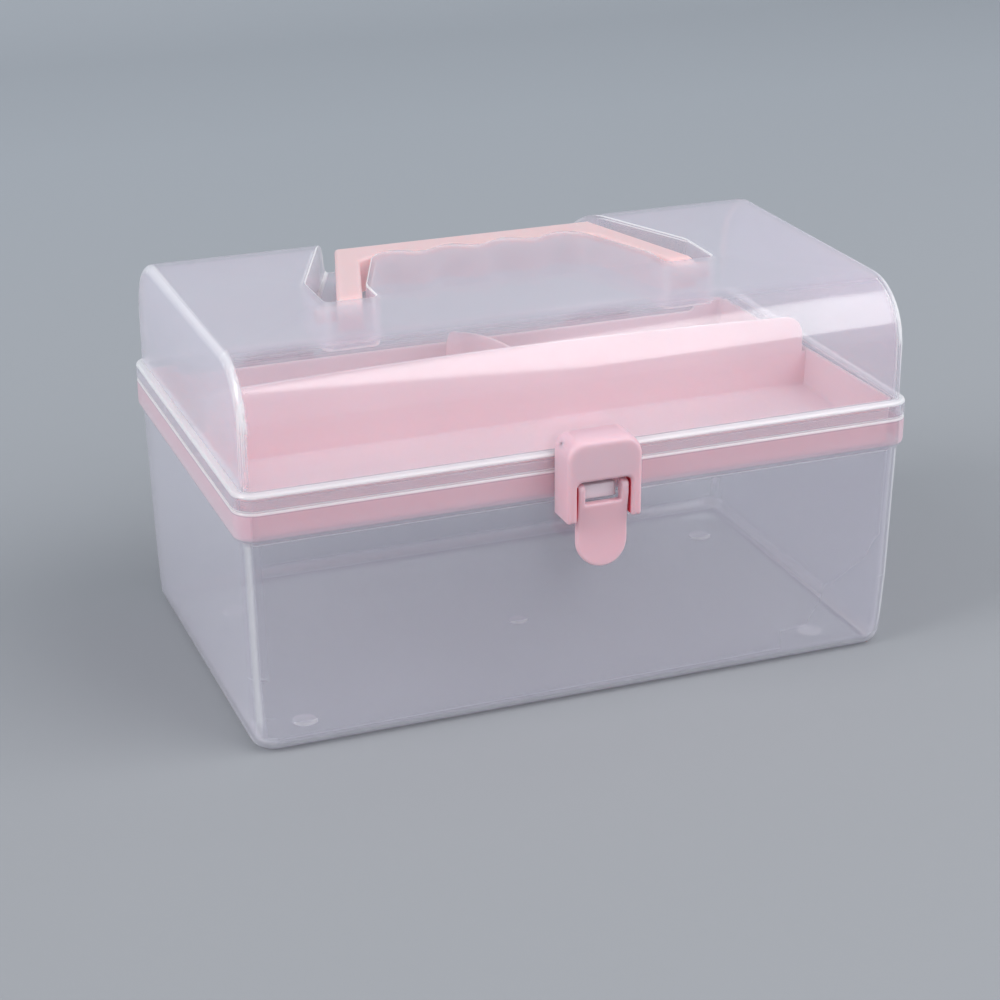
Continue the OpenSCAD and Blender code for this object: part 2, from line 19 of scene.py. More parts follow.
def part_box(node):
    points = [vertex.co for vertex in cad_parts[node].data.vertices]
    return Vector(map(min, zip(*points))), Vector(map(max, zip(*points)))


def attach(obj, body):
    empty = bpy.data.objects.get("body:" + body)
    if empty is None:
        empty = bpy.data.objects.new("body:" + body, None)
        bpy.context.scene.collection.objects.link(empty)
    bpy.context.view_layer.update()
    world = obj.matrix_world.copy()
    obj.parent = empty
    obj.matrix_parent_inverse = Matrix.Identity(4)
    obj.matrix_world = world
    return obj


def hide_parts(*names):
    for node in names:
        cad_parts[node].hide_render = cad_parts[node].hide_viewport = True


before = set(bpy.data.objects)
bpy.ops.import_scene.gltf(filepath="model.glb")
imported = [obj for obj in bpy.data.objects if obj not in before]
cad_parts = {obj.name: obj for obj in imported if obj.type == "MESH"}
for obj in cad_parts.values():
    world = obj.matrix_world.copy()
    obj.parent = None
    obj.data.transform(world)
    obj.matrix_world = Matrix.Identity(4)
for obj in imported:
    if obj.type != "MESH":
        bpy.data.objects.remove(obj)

logging.basicConfig(level=logging.INFO, format="%(message)s")
log = logging.getLogger("case")

Array = np.ndarray
Material = bpy.types.Material
Pair = tuple[float, float]
Triple = tuple[float, float, float]
Profile = list[Pair]
Edit = Callable[[Array, Array], Array]
MM = 0.001
SIDES = (-1.0, 1.0)
MERGE = 0.0005  # vertices nearer than this, in millimetres, become one
SHARP = 38  # creases over this many degrees stay sharp
FLAT, FULL = 0.16, 0.56  # curvature, one over millimetres, at which a bend starts and is full
EDGE_MARKS = (0.05, 0.2, 0.45, 0.72, 1.0)  # parts of a soft edge's width at which a plan needs a line


# ---------------------------------------------------------------- outlines and surfaces


class Plane(Enum):
    """Which axes a plan lies on: the third one is its height."""

    FLOOR = (0, 1, 2)
    FRONT = (0, 2, 1)


def rounded(corners: Sequence[Triple], closed: bool = True, count: int = 8) -> Array:
    """A polygon whose corners are arcs tangent to both edges.

    Args:
        corners: Each corner's x, y and radius; radius 0 keeps it sharp.
        closed: Whether the last corner joins the first.
        count: Points on each arc.

    Returns:
        Points as rows of x and y.
    """
    pts = np.array([c[:2] for c in corners], float)
    radii = [c[2] for c in corners]
    out: list[Array] = []
    n = len(pts)
    for i in range(n):
        ends = not closed and i in (0, n - 1)
        if ends or radii[i] <= 0:
            out.append(pts[i : i + 1])
            continue
        a, b = pts[i - 1] - pts[i], pts[(i + 1) % n] - pts[i]
        a, b = a / np.linalg.norm(a), b / np.linalg.norm(b)
        half = math.acos(float(np.clip(a @ b, -1, 1))) / 2
        middle = pts[i] + (a + b) / np.linalg.norm(a + b) * radii[i] / math.sin(half)
        first, last = pts[i] + a * radii[i] / math.tan(half), pts[i] + b * radii[i] / math.tan(half)
        start = math.atan2(*(first - middle)[::-1])
        turn = (math.atan2(*(last - middle)[::-1]) - start + math.pi) % (2 * math.pi) - math.pi
        t = start + np.linspace(0, 1, count) * turn
        out.append(middle + radii[i] * np.stack([np.cos(t), np.sin(t)], axis=1))
    return np.concatenate(out)


@dataclass(frozen=True)
class Outline:
    """A closed path in a plan, counter-clockwise."""

    points: Array

    def moved(self, inwards: float) -> "Outline":
        """The outline carried inwards by a distance, along its mitred normals.

        Args:
            inwards: The distance.

        Returns:
            The moved outline.
        """
        edge = np.roll(self.points, -1, axis=0) - self.points
        length = np.maximum(np.linalg.norm(edge, axis=1, keepdims=True), 1e-9)
        normal = np.stack([-edge[:, 1], edge[:, 0]], axis=1) / length
        both = normal + np.roll(normal, 1, axis=0)
        both /= np.maximum((both * both).sum(axis=1, keepdims=True) / 2, 0.2)
        return Outline(self.points + both * inwards)

    def depth(self, spots: Array) -> Array:
        """How far each spot lies inside the outline; negative outside.

        Args:
            spots: Points as rows of x and y.

        Returns:
            One signed distance a spot.
        """
        result = []
        a, b = self.points, np.roll(self.points, -1, axis=0)
        run = b - a
        span = np.maximum((run * run).sum(axis=1), 1e-12)
        for part in np.array_split(spots, max(1, len(spots) // 2000)):
            rel = part[:, None, :] - a[None]
            t = np.clip((rel * run).sum(axis=2) / span, 0, 1)
            gap = np.linalg.norm(rel - t[..., None] * run, axis=2).min(axis=1)
            y = part[:, 1:2]
            crosses = (a[:, 1] > y) != (b[:, 1] > y)
            rise = np.where(np.abs(run[:, 1]) > 1e-12, run[:, 1], 1e-12)
            at = a[:, 0] + (y - a[:, 1]) / rise * run[:, 0]
            inside = (crosses & (part[:, 0:1] < at)).sum(axis=1) % 2 == 1
            result.append(np.where(inside, gap, -gap))
        return np.concatenate(result)


def oblong(half_x: float, half_y: float, radius: float, count: int = 8) -> Outline:
    """A centred rectangle with round corners."""
    corners = [(x * half_x, y * half_y, radius) for x, y in ((1, -1), (1, 1), (-1, 1), (-1, -1))]
    return Outline(rounded(corners, count=count))


def read(items: Any, name: str, kind: type, width: int = 1) -> Array:
    """One attribute of every item; as rows where it has more than one value.

    Args:
        items: A mesh's vertices, edges, loops or polygons.
        name: The attribute.
        kind: Its type.
        width: Values an item.

    Returns:
        The values.
    """
    out = np.empty(len(items) * width, kind)
    items.foreach_get(name, out)
    return out.reshape(-1, width) if width > 1 else out


def mark_bends(mesh: bpy.types.Mesh, edit: Edit) -> None:
    """Stores how sharply the surface bends at each vertex, which is where milky plastic looks whitest.

    The bend is the sum of each edge's turn times its length, over twice the area round the vertex: one over
    the radius on a rounded edge and nothing on a flat. It is kept from 0, a radius over 6 mm, to 1, one under
    2 mm.

    Args:
        mesh: The mesh that gets the attribute.
        edit: Turns points in millimetres and their bends into the bends that are kept.
    """
    loop_edge, loop_vert = read(mesh.loops, "edge_index", int), read(mesh.loops, "vertex_index", int)
    size, area = read(mesh.polygons, "loop_total", int), read(mesh.polygons, "area", float)
    normal, place = read(mesh.polygons, "normal", float, 3), read(mesh.vertices, "co", float, 3)
    ends = read(mesh.edges, "vertices", int, 2)
    owner = np.repeat(np.arange(len(size)), size)
    order = np.argsort(loop_edge, kind="stable")
    first = np.searchsorted(loop_edge[order], np.arange(len(ends)))
    pair = owner[order[first]], owner[order[np.minimum(first + 1, len(order) - 1)]]
    turn = np.arccos(np.clip((normal[pair[0]] * normal[pair[1]]).sum(axis=1), -1, 1))
    bend = turn * np.linalg.norm(place[ends[:, 0]] - place[ends[:, 1]], axis=1)
    total = np.bincount(ends.ravel(), np.repeat(bend, 2), len(place))
    round_it = np.bincount(loop_vert, (area / size)[owner], len(place))
    curve = total / np.maximum(2 * round_it, 1e-10) * MM
    kept = edit(place / MM, np.clip((curve - FLAT) / (FULL - FLAT), 0, 1))
    mesh.attributes.new("bend", "FLOAT", "POINT").data.foreach_set("value", kept.astype(np.float32))


@dataclass
class Surface:
    """Vertices in millimetres and faces, gathered piece by piece."""

    verts: list[Array] = field(default_factory=list)
    faces: list[list[int]] = field(default_factory=list)
    total: int = 0

    def add(self, verts: Array, faces: Sequence[Sequence[int]]) -> None:
        """Adds one patch.

        Args:
            verts: Its vertices in millimetres.
            faces: Its faces, as numbers of those vertices.
        """
        self.faces.extend([[int(i) + self.total for i in f] for f in faces])
        self.verts.append(np.asarray(verts, float))
        self.total += len(verts)

    def loft(self, rings: Sequence[Array], wrap: bool = False) -> None:
        """Carries a closed ring of points through a row of places.

        Args:
            rings: Equal rings of x, y, z rows.
            wrap: Whether the last ring joins the first; otherwise both ends are capped.
        """
        grid = np.stack(rings)
        k, n = grid.shape[:2]
        row = np.arange(k if wrap else k - 1)[:, None]
        col = np.arange(n)[None, :]
        a = row * n + col
        b = row * n + (col + 1) % n
        up = ((row + 1) % k) * n
        quads = np.stack([a, b, up + (col + 1) % n, up + col], axis=-1).reshape(-1, 4)
        faces = quads.tolist()
        if not wrap:
            faces += [list(range(n))[::-1], list(range((k - 1) * n, k * n))]
        self.add(grid.reshape(-1, 3), faces)

    def turned(self, centre: Triple, rows: Profile, axis: int, count: int, wrap: bool = False) -> None:
        """Adds a body of revolution: at angle t a row's point is (place, radius * cos t, radius * sin t).

        Args:
            centre: Where its axis starts.
            rows: Places along the axis and the radius at each.
            axis: The axis' number; the other two follow it in turn.
            count: Points round it.
            wrap: Whether the last row joins the first; otherwise both ends are capped.
        """
        t = np.linspace(0, 2 * math.pi, count + 1)[:-1]
        rings = [np.stack([np.full_like(t, a), r * np.cos(t), r * np.sin(t)], axis=1) for a, r in rows]
        self.loft([np.roll(ring, axis, axis=1) + centre for ring in rings], wrap)

    def tube(self, centre: Triple, length: float, outer: float, bore: float = 0.0) -> None:
        """Adds a round bar or tube along x with softened ends.

        Args:
            centre: The middle of its axis.
            length: Its length.
            outer: Outer radius.
            bore: Radius of its bore; 0 for a solid bar.
        """
        soft, half = 0.25, length / 2
        rows = [(-half, outer - soft), (-half + soft * 0.3, outer - soft * 0.3), (-half + soft, outer)]
        rows += [(-a, r) for a, r in rows[::-1]]
        rows += [(half, bore), (-half, bore)] if bore else []
        self.turned(centre, rows, 0, 32, bool(bore))

    def pegs(self, centre: Triple, length: float, radius: float) -> None:
        """Adds a round peg along x and its mirror image on the other side."""
        for side in SIDES:
            self.tube((side * centre[0], centre[1], centre[2]), length, radius)

    def block(self, low: Triple, high: Triple, soft: float) -> None:
        """Adds a box with round edges, built in the front plane.

        Args:
            low: Its lowest corner.
            high: Its highest corner.
            soft: Radius of its edges.
        """
        centre = [(low[0] + high[0]) / 2, (low[2] + high[2]) / 2]
        edge = Outline(oblong((high[0] - low[0]) / 2, (high[2] - low[2]) / 2, soft, 5).points + centre)
        lines = [closed_line(edge.moved(soft * s * 0.98)) for s in (0.08, 0.3, 0.6, 1.0)]
        plan = Plan(edge, lines, Plane.FRONT)
        fall = quarter(soft - edge.depth(plan.spots), soft)
        plan.solid(self, high[1] - fall, low[1] + fall)

    def to_mesh(self, name: str, edit: Edit) -> bpy.types.Mesh:
        """Joins the patches into one closed mesh in metres, with outward faces and sharp creases marked.

        Args:
            name: Name of the new mesh.
            edit: Changes the bends that are stored.

        Returns:
            The finished mesh.
        """
        mesh = bpy.data.meshes.new(name)
        mesh.from_pydata((np.concatenate(self.verts) * MM).tolist(), [], self.faces)
        bm = bmesh.new()
        bm.from_mesh(mesh)
        bmesh.ops.remove_doubles(bm, verts=bm.verts, dist=MERGE * MM)
        bmesh.ops.dissolve_degenerate(bm, edges=bm.edges, dist=1e-8)
        bmesh.ops.recalc_face_normals(bm, faces=bm.faces)
        bm.to_mesh(mesh)
        bm.free()
        mesh.polygons.foreach_set("use_smooth", np.ones(len(mesh.polygons), bool))
        mesh.set_sharp_from_angle(angle=math.radians(SHARP))
        mark_bends(mesh, edit)
        return mesh


class Plan:
    """A constrained triangulation of a plan, whose lines follow the features of its height functions."""

    def __init__(self, outline: Outline, lines: Sequence[Array], plane: Plane = Plane.FLOOR) -> None:
        """Triangulates the inside of an outline.

        Args:
            outline: Edge of the plan.
            lines: Polylines that edges of the triangulation follow; they may cross.
            plane: The plane it lies on.
        """
        self.plane = plane
        points: list[Array] = [outline.points]
        n = len(outline.points)
        edges: list[tuple[int, int]] = [(i, (i + 1) % n) for i in range(n)]
        for line in lines:
            edges += [(n + i, n + i + 1) for i in range(len(line) - 1)]
            points.append(line)
            n += len(line)
        coords = [Vector(p) for p in np.concatenate(points).tolist()]
        out = delaunay_2d_cdt(coords, edges, [], 0, 1e-5)
        self.spots = np.array([tuple(v) for v in out[0]])
        tris = np.array([f for f in out[2] if len(f) == 3])
        tris = tris[outline.depth(self.spots[tris].mean(axis=1)) > 1e-4]
        used, index = np.unique(tris, return_inverse=True)
        self.spots, self.tris = self.spots[used], index.reshape(-1, 3)

    def rim(self) -> Array:
        """Edges on the plan's border, as pairs of vertex numbers.

        Returns:
            One pair an edge.
        """
        pairs = np.concatenate([self.tris[:, [0, 1]], self.tris[:, [1, 2]], self.tris[:, [2, 0]]])
        _, where, count = np.unique(np.sort(pairs, axis=1), axis=0, return_index=True, return_counts=True)
        return pairs[where[count == 1]]

    def lift(self, height: Array) -> Array:
        """The plan's spots at given heights, as x, y, z rows.

        Args:
            height: Height of each spot.

        Returns:
            The rows.
        """
        out = np.zeros((len(self.spots), 3))
        u, v, w = self.plane.value
        out[:, u], out[:, v], out[:, w] = self.spots[:, 0], self.spots[:, 1], height
        return out

    def solid(self, surface: Surface, top: Array, bottom: Array, floor: bool = True) -> None:
        """Adds the solid between two height fields over this plan, closed unless the lower one is left open.

        Args:
            surface: Where the patch goes.
            top: Upper height at each spot.
            bottom: Lower height at each spot.
            floor: Whether the lower field gets faces too.
        """
        n, rim = len(self.spots), self.rim()
        sides = np.stack([rim[:, 1], rim[:, 0], rim[:, 0] + n, rim[:, 1] + n], axis=1)
        under = (self.tris[:, ::-1] + n).tolist() if floor else []
        faces = self.tris.tolist() + under + sides.tolist()
        surface.add(np.concatenate([self.lift(top), self.lift(bottom)]), faces)


def across(y: float, half: float, other: float | None = None) -> Array:
    """A straight line along x at depth y, from -half or another place to half."""
    return np.array([[-half if other is None else other, y], [half, y]])


def along(x: float, low: float, high: float) -> Array:
    """A straight line along the plan's second axis at x."""
    return np.array([[x, low], [x, high]])


def closed_line(outline: Outline) -> Array:
    """An outline as a polyline that ends where it starts."""
    return np.concatenate([outline.points, outline.points[:1]])


def guarded(rows: Sequence[Pair], near: float = 0.35) -> Profile:
    """A profile with a point added close to both ends of every long stretch, so that edges stay narrow.

    Args:
        rows: The profile's points.
        near: How close the added points are.

    Returns:
        The longer profile.
    """
    out = [rows[0]]
    for a, b in zip(rows, rows[1:]):
        span = math.dist(a, b)
        if span > 8 * near:
            shares = (near / span, 1 - near / span)
            out += [(a[0] + (b[0] - a[0]) * t, a[1] + (b[1] - a[1]) * t) for t in shares]
        out.append(b)
    return out


def quarter(q: Array, radius: float) -> Array:
    """How far a quarter-round edge has fallen at distance q from its flat, reaching radius at q = radius."""
    s = np.clip(q, 0, radius)
    return radius - np.sqrt(radius**2 - s**2)


@dataclass(frozen=True)
class Wall:
    """A moulded wall seen from above: round lip, steep face, hollow round foot."""

    lip: float = 0.6
    lean: float = 0.35
    foot: float = 1.5

    def marks(self) -> list[float]:
        """Distances past the upper edge at which the plan needs a line.

        Returns:
            The distances, from the lip to the foot.
        """
        lips = [-self.lip * s for s in (1.0, 0.72, 0.42, 0.16)]
        feet = [self.lean + self.foot * s for s in (0.0, 0.06, 0.22, 0.48, 1.0)]
        return lips + [0.0] + feet

    def drop(self, q: Array, depth: float | Array) -> Array:
        """Fall below the flat at distance q past the wall's upper edge.

        Args:
            q: Distances, negative on the high side.
            depth: Height of the wall.

        Returns:
            Fall at each distance: a quarter round, a steep straight and a hollow quarter round.
        """
        lip = quarter(q + self.lip, self.lip)
        steep = self.lip + (depth - self.lip - self.foot) * np.clip(q / self.lean, 0, 1)
        near = np.clip(self.lean + self.foot - q, 0, self.foot)
        foot = depth - self.foot + np.sqrt(np.maximum(self.foot**2 - near**2, 0))
        return np.where(q <= 0, lip, np.where(q <= self.lean, steep, foot))


# ---------------------------------------------------------------- shader wrapper


@dataclass
class Sock:
    """A shader socket that takes part in Python arithmetic; each operator adds a Math node."""

    kit: "Nodes"
    out: bpy.types.NodeSocket | None

    def _math(self, how: str, *others: Any) -> "Sock":
        """One Math node on this socket and others."""
        return self.kit.node("Math", {"operation": how}, dict(enumerate((self, *others))))

    def __add__(self, other: Any) -> "Sock":
        """self + other."""
        return self._math("ADD", other)

    def __mul__(self, other: Any) -> "Sock":
        """self * other."""
        return self._math("MULTIPLY", other)

    def __sub__(self, other: Any) -> "Sock":
        """self - other."""
        return self._math("SUBTRACT", other)

    def __rsub__(self, other: Any) -> "Sock":
        """other - self."""
        return self * -1.0 + other

    def __pow__(self, other: Any) -> "Sock":
        """self ** other."""
        return self._math("POWER", other)

    def size(self) -> "Sock":
        """Its absolute value."""
        return self._math("ABSOLUTE")

    def clamp(self) -> "Sock":
        """Limited to 0 and 1."""
        return self.kit.node("Clamp", {}, {0: self})

    def above(self, limit: float, width: float) -> "Sock":
        """0 up to a limit and 1 from a width past it."""
        return ((self - limit) * (1.0 / width)).clamp()

    def below(self, limit: float, width: float) -> "Sock":
        """0 from a limit on and 1 from a width under it."""
        return ((limit - self) * (1.0 / width)).clamp()

    def within(self, middle: float, half: float, width: float) -> "Sock":
        """0 further than half from a middle and 1 from a width inside that."""
        return (self - middle).size().below(half, width)


class Nodes:
    """The node tree of one material."""

    def __init__(self, name: str) -> None:
        """Starts an empty material.

        Args:
            name: Name of the finish.
        """
        self.material = bpy.data.materials.new(name)
        self.material.use_nodes = True
        self.tree = self.material.node_tree
        self.tree.nodes.clear()

    def node(self, kind: str, settings: dict[str, Any], inputs: dict[Any, Any], output: Any = 0) -> Sock:
        """Adds any node.

        Args:
            kind: Its type name, without the ShaderNode in front.
            settings: Attributes that are set first.
            inputs: Values or links of its sockets, by name or number.
            output: The output to return.

        Returns:
            The chosen output, ready for arithmetic.
        """
        made = self.tree.nodes.new("ShaderNode" + kind)
        for key, value in settings.items():
            setattr(made, key, value)
        for key, value in inputs.items():
            if isinstance(value, Sock):
                self.tree.links.new(value.out, made.inputs[key])
            else:
                made.inputs[key].default_value = value
        return Sock(self, made.outputs[output] if made.outputs else None)

    def place(self) -> tuple[Sock, Sock, Sock]:
        """The Object coordinates x, y and z."""
        spot = self.node("TexCoord", {}, {}, "Object")
        return tuple(self.node("SeparateXYZ", {}, {0: spot}, i) for i in range(3))

    def mix(self, factor: Any, first: Any, second: Any) -> Sock:
        """A colour between two others."""
        inputs = {0: factor, 6: first, 7: second}
        return self.node("Mix", {"data_type": "RGBA"}, inputs, 2)

    def noise(self, scale: float, detail: float) -> Sock:
        """Noise on Object coordinates, from 0 to 1, with its scale in cycles a metre."""
        place = self.node("TexCoord", {}, {}, "Object")
        return self.node("TexNoise", {}, {"Vector": place, "Scale": scale, "Detail": detail})

    def bump(self, strength: float, distance: float, height: Sock) -> Sock:
        """Bumps from a height."""
        inputs = {"Strength": strength, "Distance": distance, "Height": height}
        return self.node("Bump", {}, inputs)

    def principled(self, inputs: dict[str, Any]) -> Sock:
        """A Principled shader."""
        return self.node("BsdfPrincipled", {}, inputs)

    def finish(self, shader: Sock) -> Material:
        """Connects the last shader and returns the material."""
        self.node("OutputMaterial", {}, {"Surface": shader})
        return self.material


def rgba(red: float, green: float, blue: float) -> tuple[float, float, float, float]:
    """A colour written as screen values from 0 to 255, turned into light values."""
    lin = [((c / 255 + 0.055) / 1.055) ** 2.4 if c > 10 else c / 255 / 12.92 for c in (red, green, blue)]
    return (*lin, 1.0)


@dataclass(frozen=True)
class ClearPlastic:
    """Milky see-through moulding: a thin haze, whiter at edges and in thick lugs, with a clear gloss; pink
    light bounced from the tray is painted into the rim band's haze, and extra haze on the lid's ends is
    painted light scattered through them.
    """

    name: str = "clear_plastic"
    haze: Triple = (226, 223, 240)
    white: Triple = (252, 252, 255)
    lug: Triple = (255, 236, 243)
    # rose: painted bounce light, the tray's pink painted into the haze of the rim band
    rose: Triple = (250, 206, 216)
    painted_bounce_veil: float = 0.22
    painted_bounce_end_veil: float = 0.30
    veil: float = 0.09
    low_veil: float = 0.05
    # painted_end_light_veil: extra haze on the lid's ends, painted light that stands in for light scattered
    # through them from behind
    painted_end_light_veil: float = 0.28
    slant_veil: float = 0.28
    bend_veil: float = 0.5
    thick_veil: float = 0.85
    end_x: float = 0.1245
    dome_z: float = 0.1
    dome_fade: float = 0.05
    thick_y: float = 0.0797
    step_z: float = 0.0848
    calm_half: float = 0.0024
    # band_z and band_half: the rim band's height, where the painted pink bounce light goes
    band_z: float = 0.0893
    band_half: float = 0.0052
    gloss_floor: float = 0.055
    gloss_rim: float = 0.6
    gloss: float = 0.14

    def make(self) -> Material:
        """Builds the material.

        Returns:
            The material.
        """
        kit = Nodes(self.name)
        slant = kit.node("LayerWeight", {}, {"Blend": 0.5}, "Facing")
        bend = kit.node("Attribute", {"attribute_name": "bend"}, {}, "Fac")
        cloud = kit.noise(14.0, 3.0)
        across_x, depth, height = kit.place()
        thick = depth.below(-self.thick_y, 0.00025)
        # band: the rim band, where pink bounce light from the tray is painted into the haze; there the slant
        # haze and the rim gloss are weaker so the pink shows
        band = height.within(self.band_z, self.band_half, 0.001)
        low = height.below(self.step_z, 0.0025)
        side = across_x.size().above(self.end_x, 0.001)
        # ends: the lid's ends above the dome height, where the extra haze is painted scattered light
        ends = side * height.above(self.dome_z, self.dome_fade)
        calm = (height - self.step_z).size().above(self.calm_half, 0.001)
        bend = bend * (calm * 0.8 + 0.2)
        veil = low * self.low_veil + ends * self.painted_end_light_veil + self.veil
        veil = veil + slant**2.0 * (1.0 - band) * self.slant_veil
        # painted bounce light: more pink haze in the rim band, the most at the ends
        painted_tray_bounce = band * (side * self.painted_bounce_end_veil + self.painted_bounce_veil)
        veil = veil + bend * self.bend_veil + thick * self.thick_veil + painted_tray_bounce
        bump = kit.bump(0.05, 0.0006, kit.noise(40.0, 1.0))
        tone = kit.mix((bend + cloud * 0.15).clamp(), rgba(*self.haze), rgba(*self.white))
        # the rim band's haze turned pink: painted bounce light from the tray
        tone = kit.mix(band * 0.8, tone, rgba(*self.rose))
        tone = kit.mix(thick, tone, rgba(*self.lug))
        haze = {"Base Color": tone, "Roughness": 0.5, "Specular IOR Level": 0.0, "Alpha": veil.clamp()}
        soft = {"Subsurface Weight": 0.7, "Subsurface Radius": (1.0, 1.0, 1.0), "Subsurface Scale": 0.003}
        body = kit.principled({**haze, **soft, "Normal": bump})
        mirror = {"Base Color": (1, 1, 1, 1), "Metallic": 1.0, "Roughness": self.gloss, "Normal": bump}
        shine = kit.principled(mirror)
        rim = slant**5.0 * (self.gloss_rim - self.gloss_floor) * (1.0 - band * 0.7)
        share = (rim + self.gloss_floor).clamp()
        return kit.finish(kit.node("MixShader", {}, {0: share, 1: body, 2: shine}))


@dataclass(frozen=True)
class PinkPlastic:
    """Pale pink moulding with a soft gloss; a deep red is painted into the narrow gaps beside the latch
    lever, standing in for light that comes out of them redder.
    """

    name: str = "pink_plastic"
    colour: Triple = (255, 214, 220)
    painted_gap_red: Triple = (225, 70, 92)
    gap: Pair | None = None
    gap_y: float = -0.0908
    gap_z: Pair = (0.0865, 0.0085)
    gloss: float = 0.4

    def make(self) -> Material:
        """Builds the material.

        Returns:
            The material.
        """
        kit = Nodes(self.name)
        cloud = kit.noise(22.0, 3.0)
        fine = kit.noise(900.0, 2.0)
        bump = kit.bump(0.05, 0.0003, fine)
        tone = kit.mix(cloud, rgba(*self.colour), rgba(*[c * 0.97 for c in self.colour]))
        # painted light: the inner faces of the gaps beside the lever's arms get a deep red, standing in for
        # light scattered out of the pink plastic
        if self.gap:
            across_x, depth, height = kit.place()
            inside = across_x.size().within(*self.gap, 0.0002) * height.within(*self.gap_z, 0.001)
            tone = kit.mix(inside * depth.above(self.gap_y, 0.0005), tone, rgba(*self.painted_gap_red))
        skin = {"Base Color": tone, "Roughness": fine * 0.06 + self.gloss, "Normal": bump}
        soft = {"Subsurface Weight": 0.6, "Subsurface Radius": (0.012, 0.006, 0.005), "Subsurface Scale": 0.5}
        return kit.finish(kit.principled({**skin, **soft}))


@dataclass(frozen=True)
class PinSteel:
    """Drawn steel wire."""

    name: str = "pin_steel"
    colour: Triple = (225, 226, 230)

    def make(self) -> Material:
        """Builds the material.

        Returns:
            The material.
        """
        kit = Nodes(self.name)
        rough = kit.noise(2500.0, 2.0) * 0.15 + 0.25
        inputs = {"Base Color": rgba(*self.colour), "Metallic": 1.0, "Roughness": rough}
        return kit.finish(kit.principled(inputs))


# ---------------------------------------------------------------- pieces


@dataclass(frozen=True)
class Sizes:
    """The case's shared sizes, in millimetres; the outer ones come from the frame."""

    half_l: float = 130.0
    half_w: float = 79.0
    top: float = 145.6
    seam: float = 95.0
    rim_r: float = 8.0
    step: float = 1.75
    band: float = 11.5
    wall: float = 1.6
    draft: float = 1.6
    flange: float = 6.5
    lid_step: float = 2.8
    shoulder: float = 24.0
    end_r: float = 3.5
    lip_in: float = 1.6
    lip_t: float = 1.0
    lip_h: float = 3.4
    hinge_x: float = 70.0
    hinge_out: float = 3.7
    hinge_r: float = 3.2
    hinge_bore: float = 1.3
    seam_depths: Pair = (0.9, 9.5)
    # painted highlight: the least bend kept on the flange's top face, which whitens it as a bright line
    painted_ledge_highlight: float = 0.85

    @classmethod
    def from_frame(cls) -> "Sizes":
        """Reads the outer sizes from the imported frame.

        Returns:
            The sizes.
        """
        low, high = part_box("base_box")
        lid_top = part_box("lid")[1][2] / MM
        return cls(half_l=float(high[0] - low[0]) / MM / 2, top=float(lid_top))

    def seam_bends(self, points: Array, bends: Array) -> Array:
        """Bends without the faces hidden in the seam of box and lid, and with a painted highlight line along
        the flange's top face.

        Args:
            points: Places in millimetres.
            bends: The bend at each place.

        Returns:
            The changed bends.
        """
        z = points[:, 2]
        depth = oblong(self.half_l, self.half_w, self.rim_r).depth(points[:, :2])
        near, far = self.seam_depths
        flange_top = self.seam + self.flange
        inside = (depth > near) & (depth < far) & (z > self.seam - self.band) & (z < flange_top - 0.3)
        # the flange's top face, whitened as a painted highlight line
        ledge = (depth > 0.3) & (depth < self.lid_step - 0.05) & (np.abs(z - flange_top) < 0.2)
        return np.where(inside, 0.0, np.where(ledge, np.maximum(bends, self.painted_ledge_highlight), bends))


def linked(name: str, data: Any) -> bpy.types.Object:
    """A new object that is in the scene.

    Args:
        name: Its name.
        data: Its mesh, lamp or camera.

    Returns:
        The object.
    """
    made = bpy.data.objects.new(name, data)
    bpy.context.scene.collection.objects.link(made)
    return made


@dataclass
class Piece:
    """One finished object that stands for a CAD node and rides on its body."""

    name: str
    node: str
    body: str
    slot: str
    sizes: Sizes

    def surface(self) -> Surface:
        """The piece's closed surfaces."""
        raise NotImplementedError

    def bends(self, points: Array, bends: Array) -> Array:
        """The bends that are stored; a piece may change those that were measured."""
        return bends

    def build(self, material: Material) -> bpy.types.Object:
        """Makes the piece and puts it in place of its CAD node.

        Args:
            material: Its finish.

        Returns:
            The new object.
        """
        mesh = self.surface().to_mesh(self.name, self.bends)
        mesh.materials.append(material)
        made = linked(self.name, mesh)
        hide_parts(self.node)
        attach(made, self.body)
        log.info("%s: %d vertices", self.name, len(mesh.vertices))
        return made


def hinge_part(surface: Surface, sizes: Sizes, x: float, length: float, web: Pair, soft: float) -> None:
    """Adds a hinge's tube, with the web that joins it to the rim.

    Args:
        surface: Where it goes.
        sizes: The case's sizes.
        x: Middle of its length.
        length: Its length.
        web: Lower and upper edge of the web, from the seam up.
        soft: Radius of the web's edges.
    """
    y = sizes.half_w + sizes.hinge_out
    surface.tube((x, y, sizes.seam), length, sizes.hinge_r, sizes.hinge_bore)
    low = (x - length / 2, sizes.half_w - 0.8, sizes.seam + web[0])
    surface.block(low, (x + length / 2, y - 1.6, sizes.seam + web[1]), soft)


def ring(sizes: Sizes, inset: float, z: float, lean: float = 0.0) -> Array:
    """The rim's plan, moved inwards, at a height; the wall's lean doesn't tighten its corners.

    Args:
        sizes: The case's sizes.
        inset: How far inwards.
        z: The height.
        lean: How much larger the corners' radius is.

    Returns:
        x, y, z rows.
    """
    radius = max(sizes.rim_r - inset + lean, 1.0)
    edge = oblong(sizes.half_l - inset, sizes.half_w - inset, radius, 10).points
    return np.concatenate([edge, np.full((len(edge), 1), z)], axis=1)


def foot_round(inset: float, floor: float, reach: float, rise: float, angles: Sequence[float]) -> Profile:
    """A quarter round from a floor up to a wall, as inset and height at angles in degrees."""
    return [(inset + reach * (1 - math.sin(a)), floor + rise * (1 - math.cos(a))) for a in np.radians(angles)]


def brow_round(top: float, radius: float, angles: Sequence[float]) -> Profile:
    """A quarter round from the outermost wall to the flat above it, as inset and height."""
    return [(radius * (1 - math.cos(a)), top - radius * (1 - math.sin(a))) for a in np.radians(angles)]


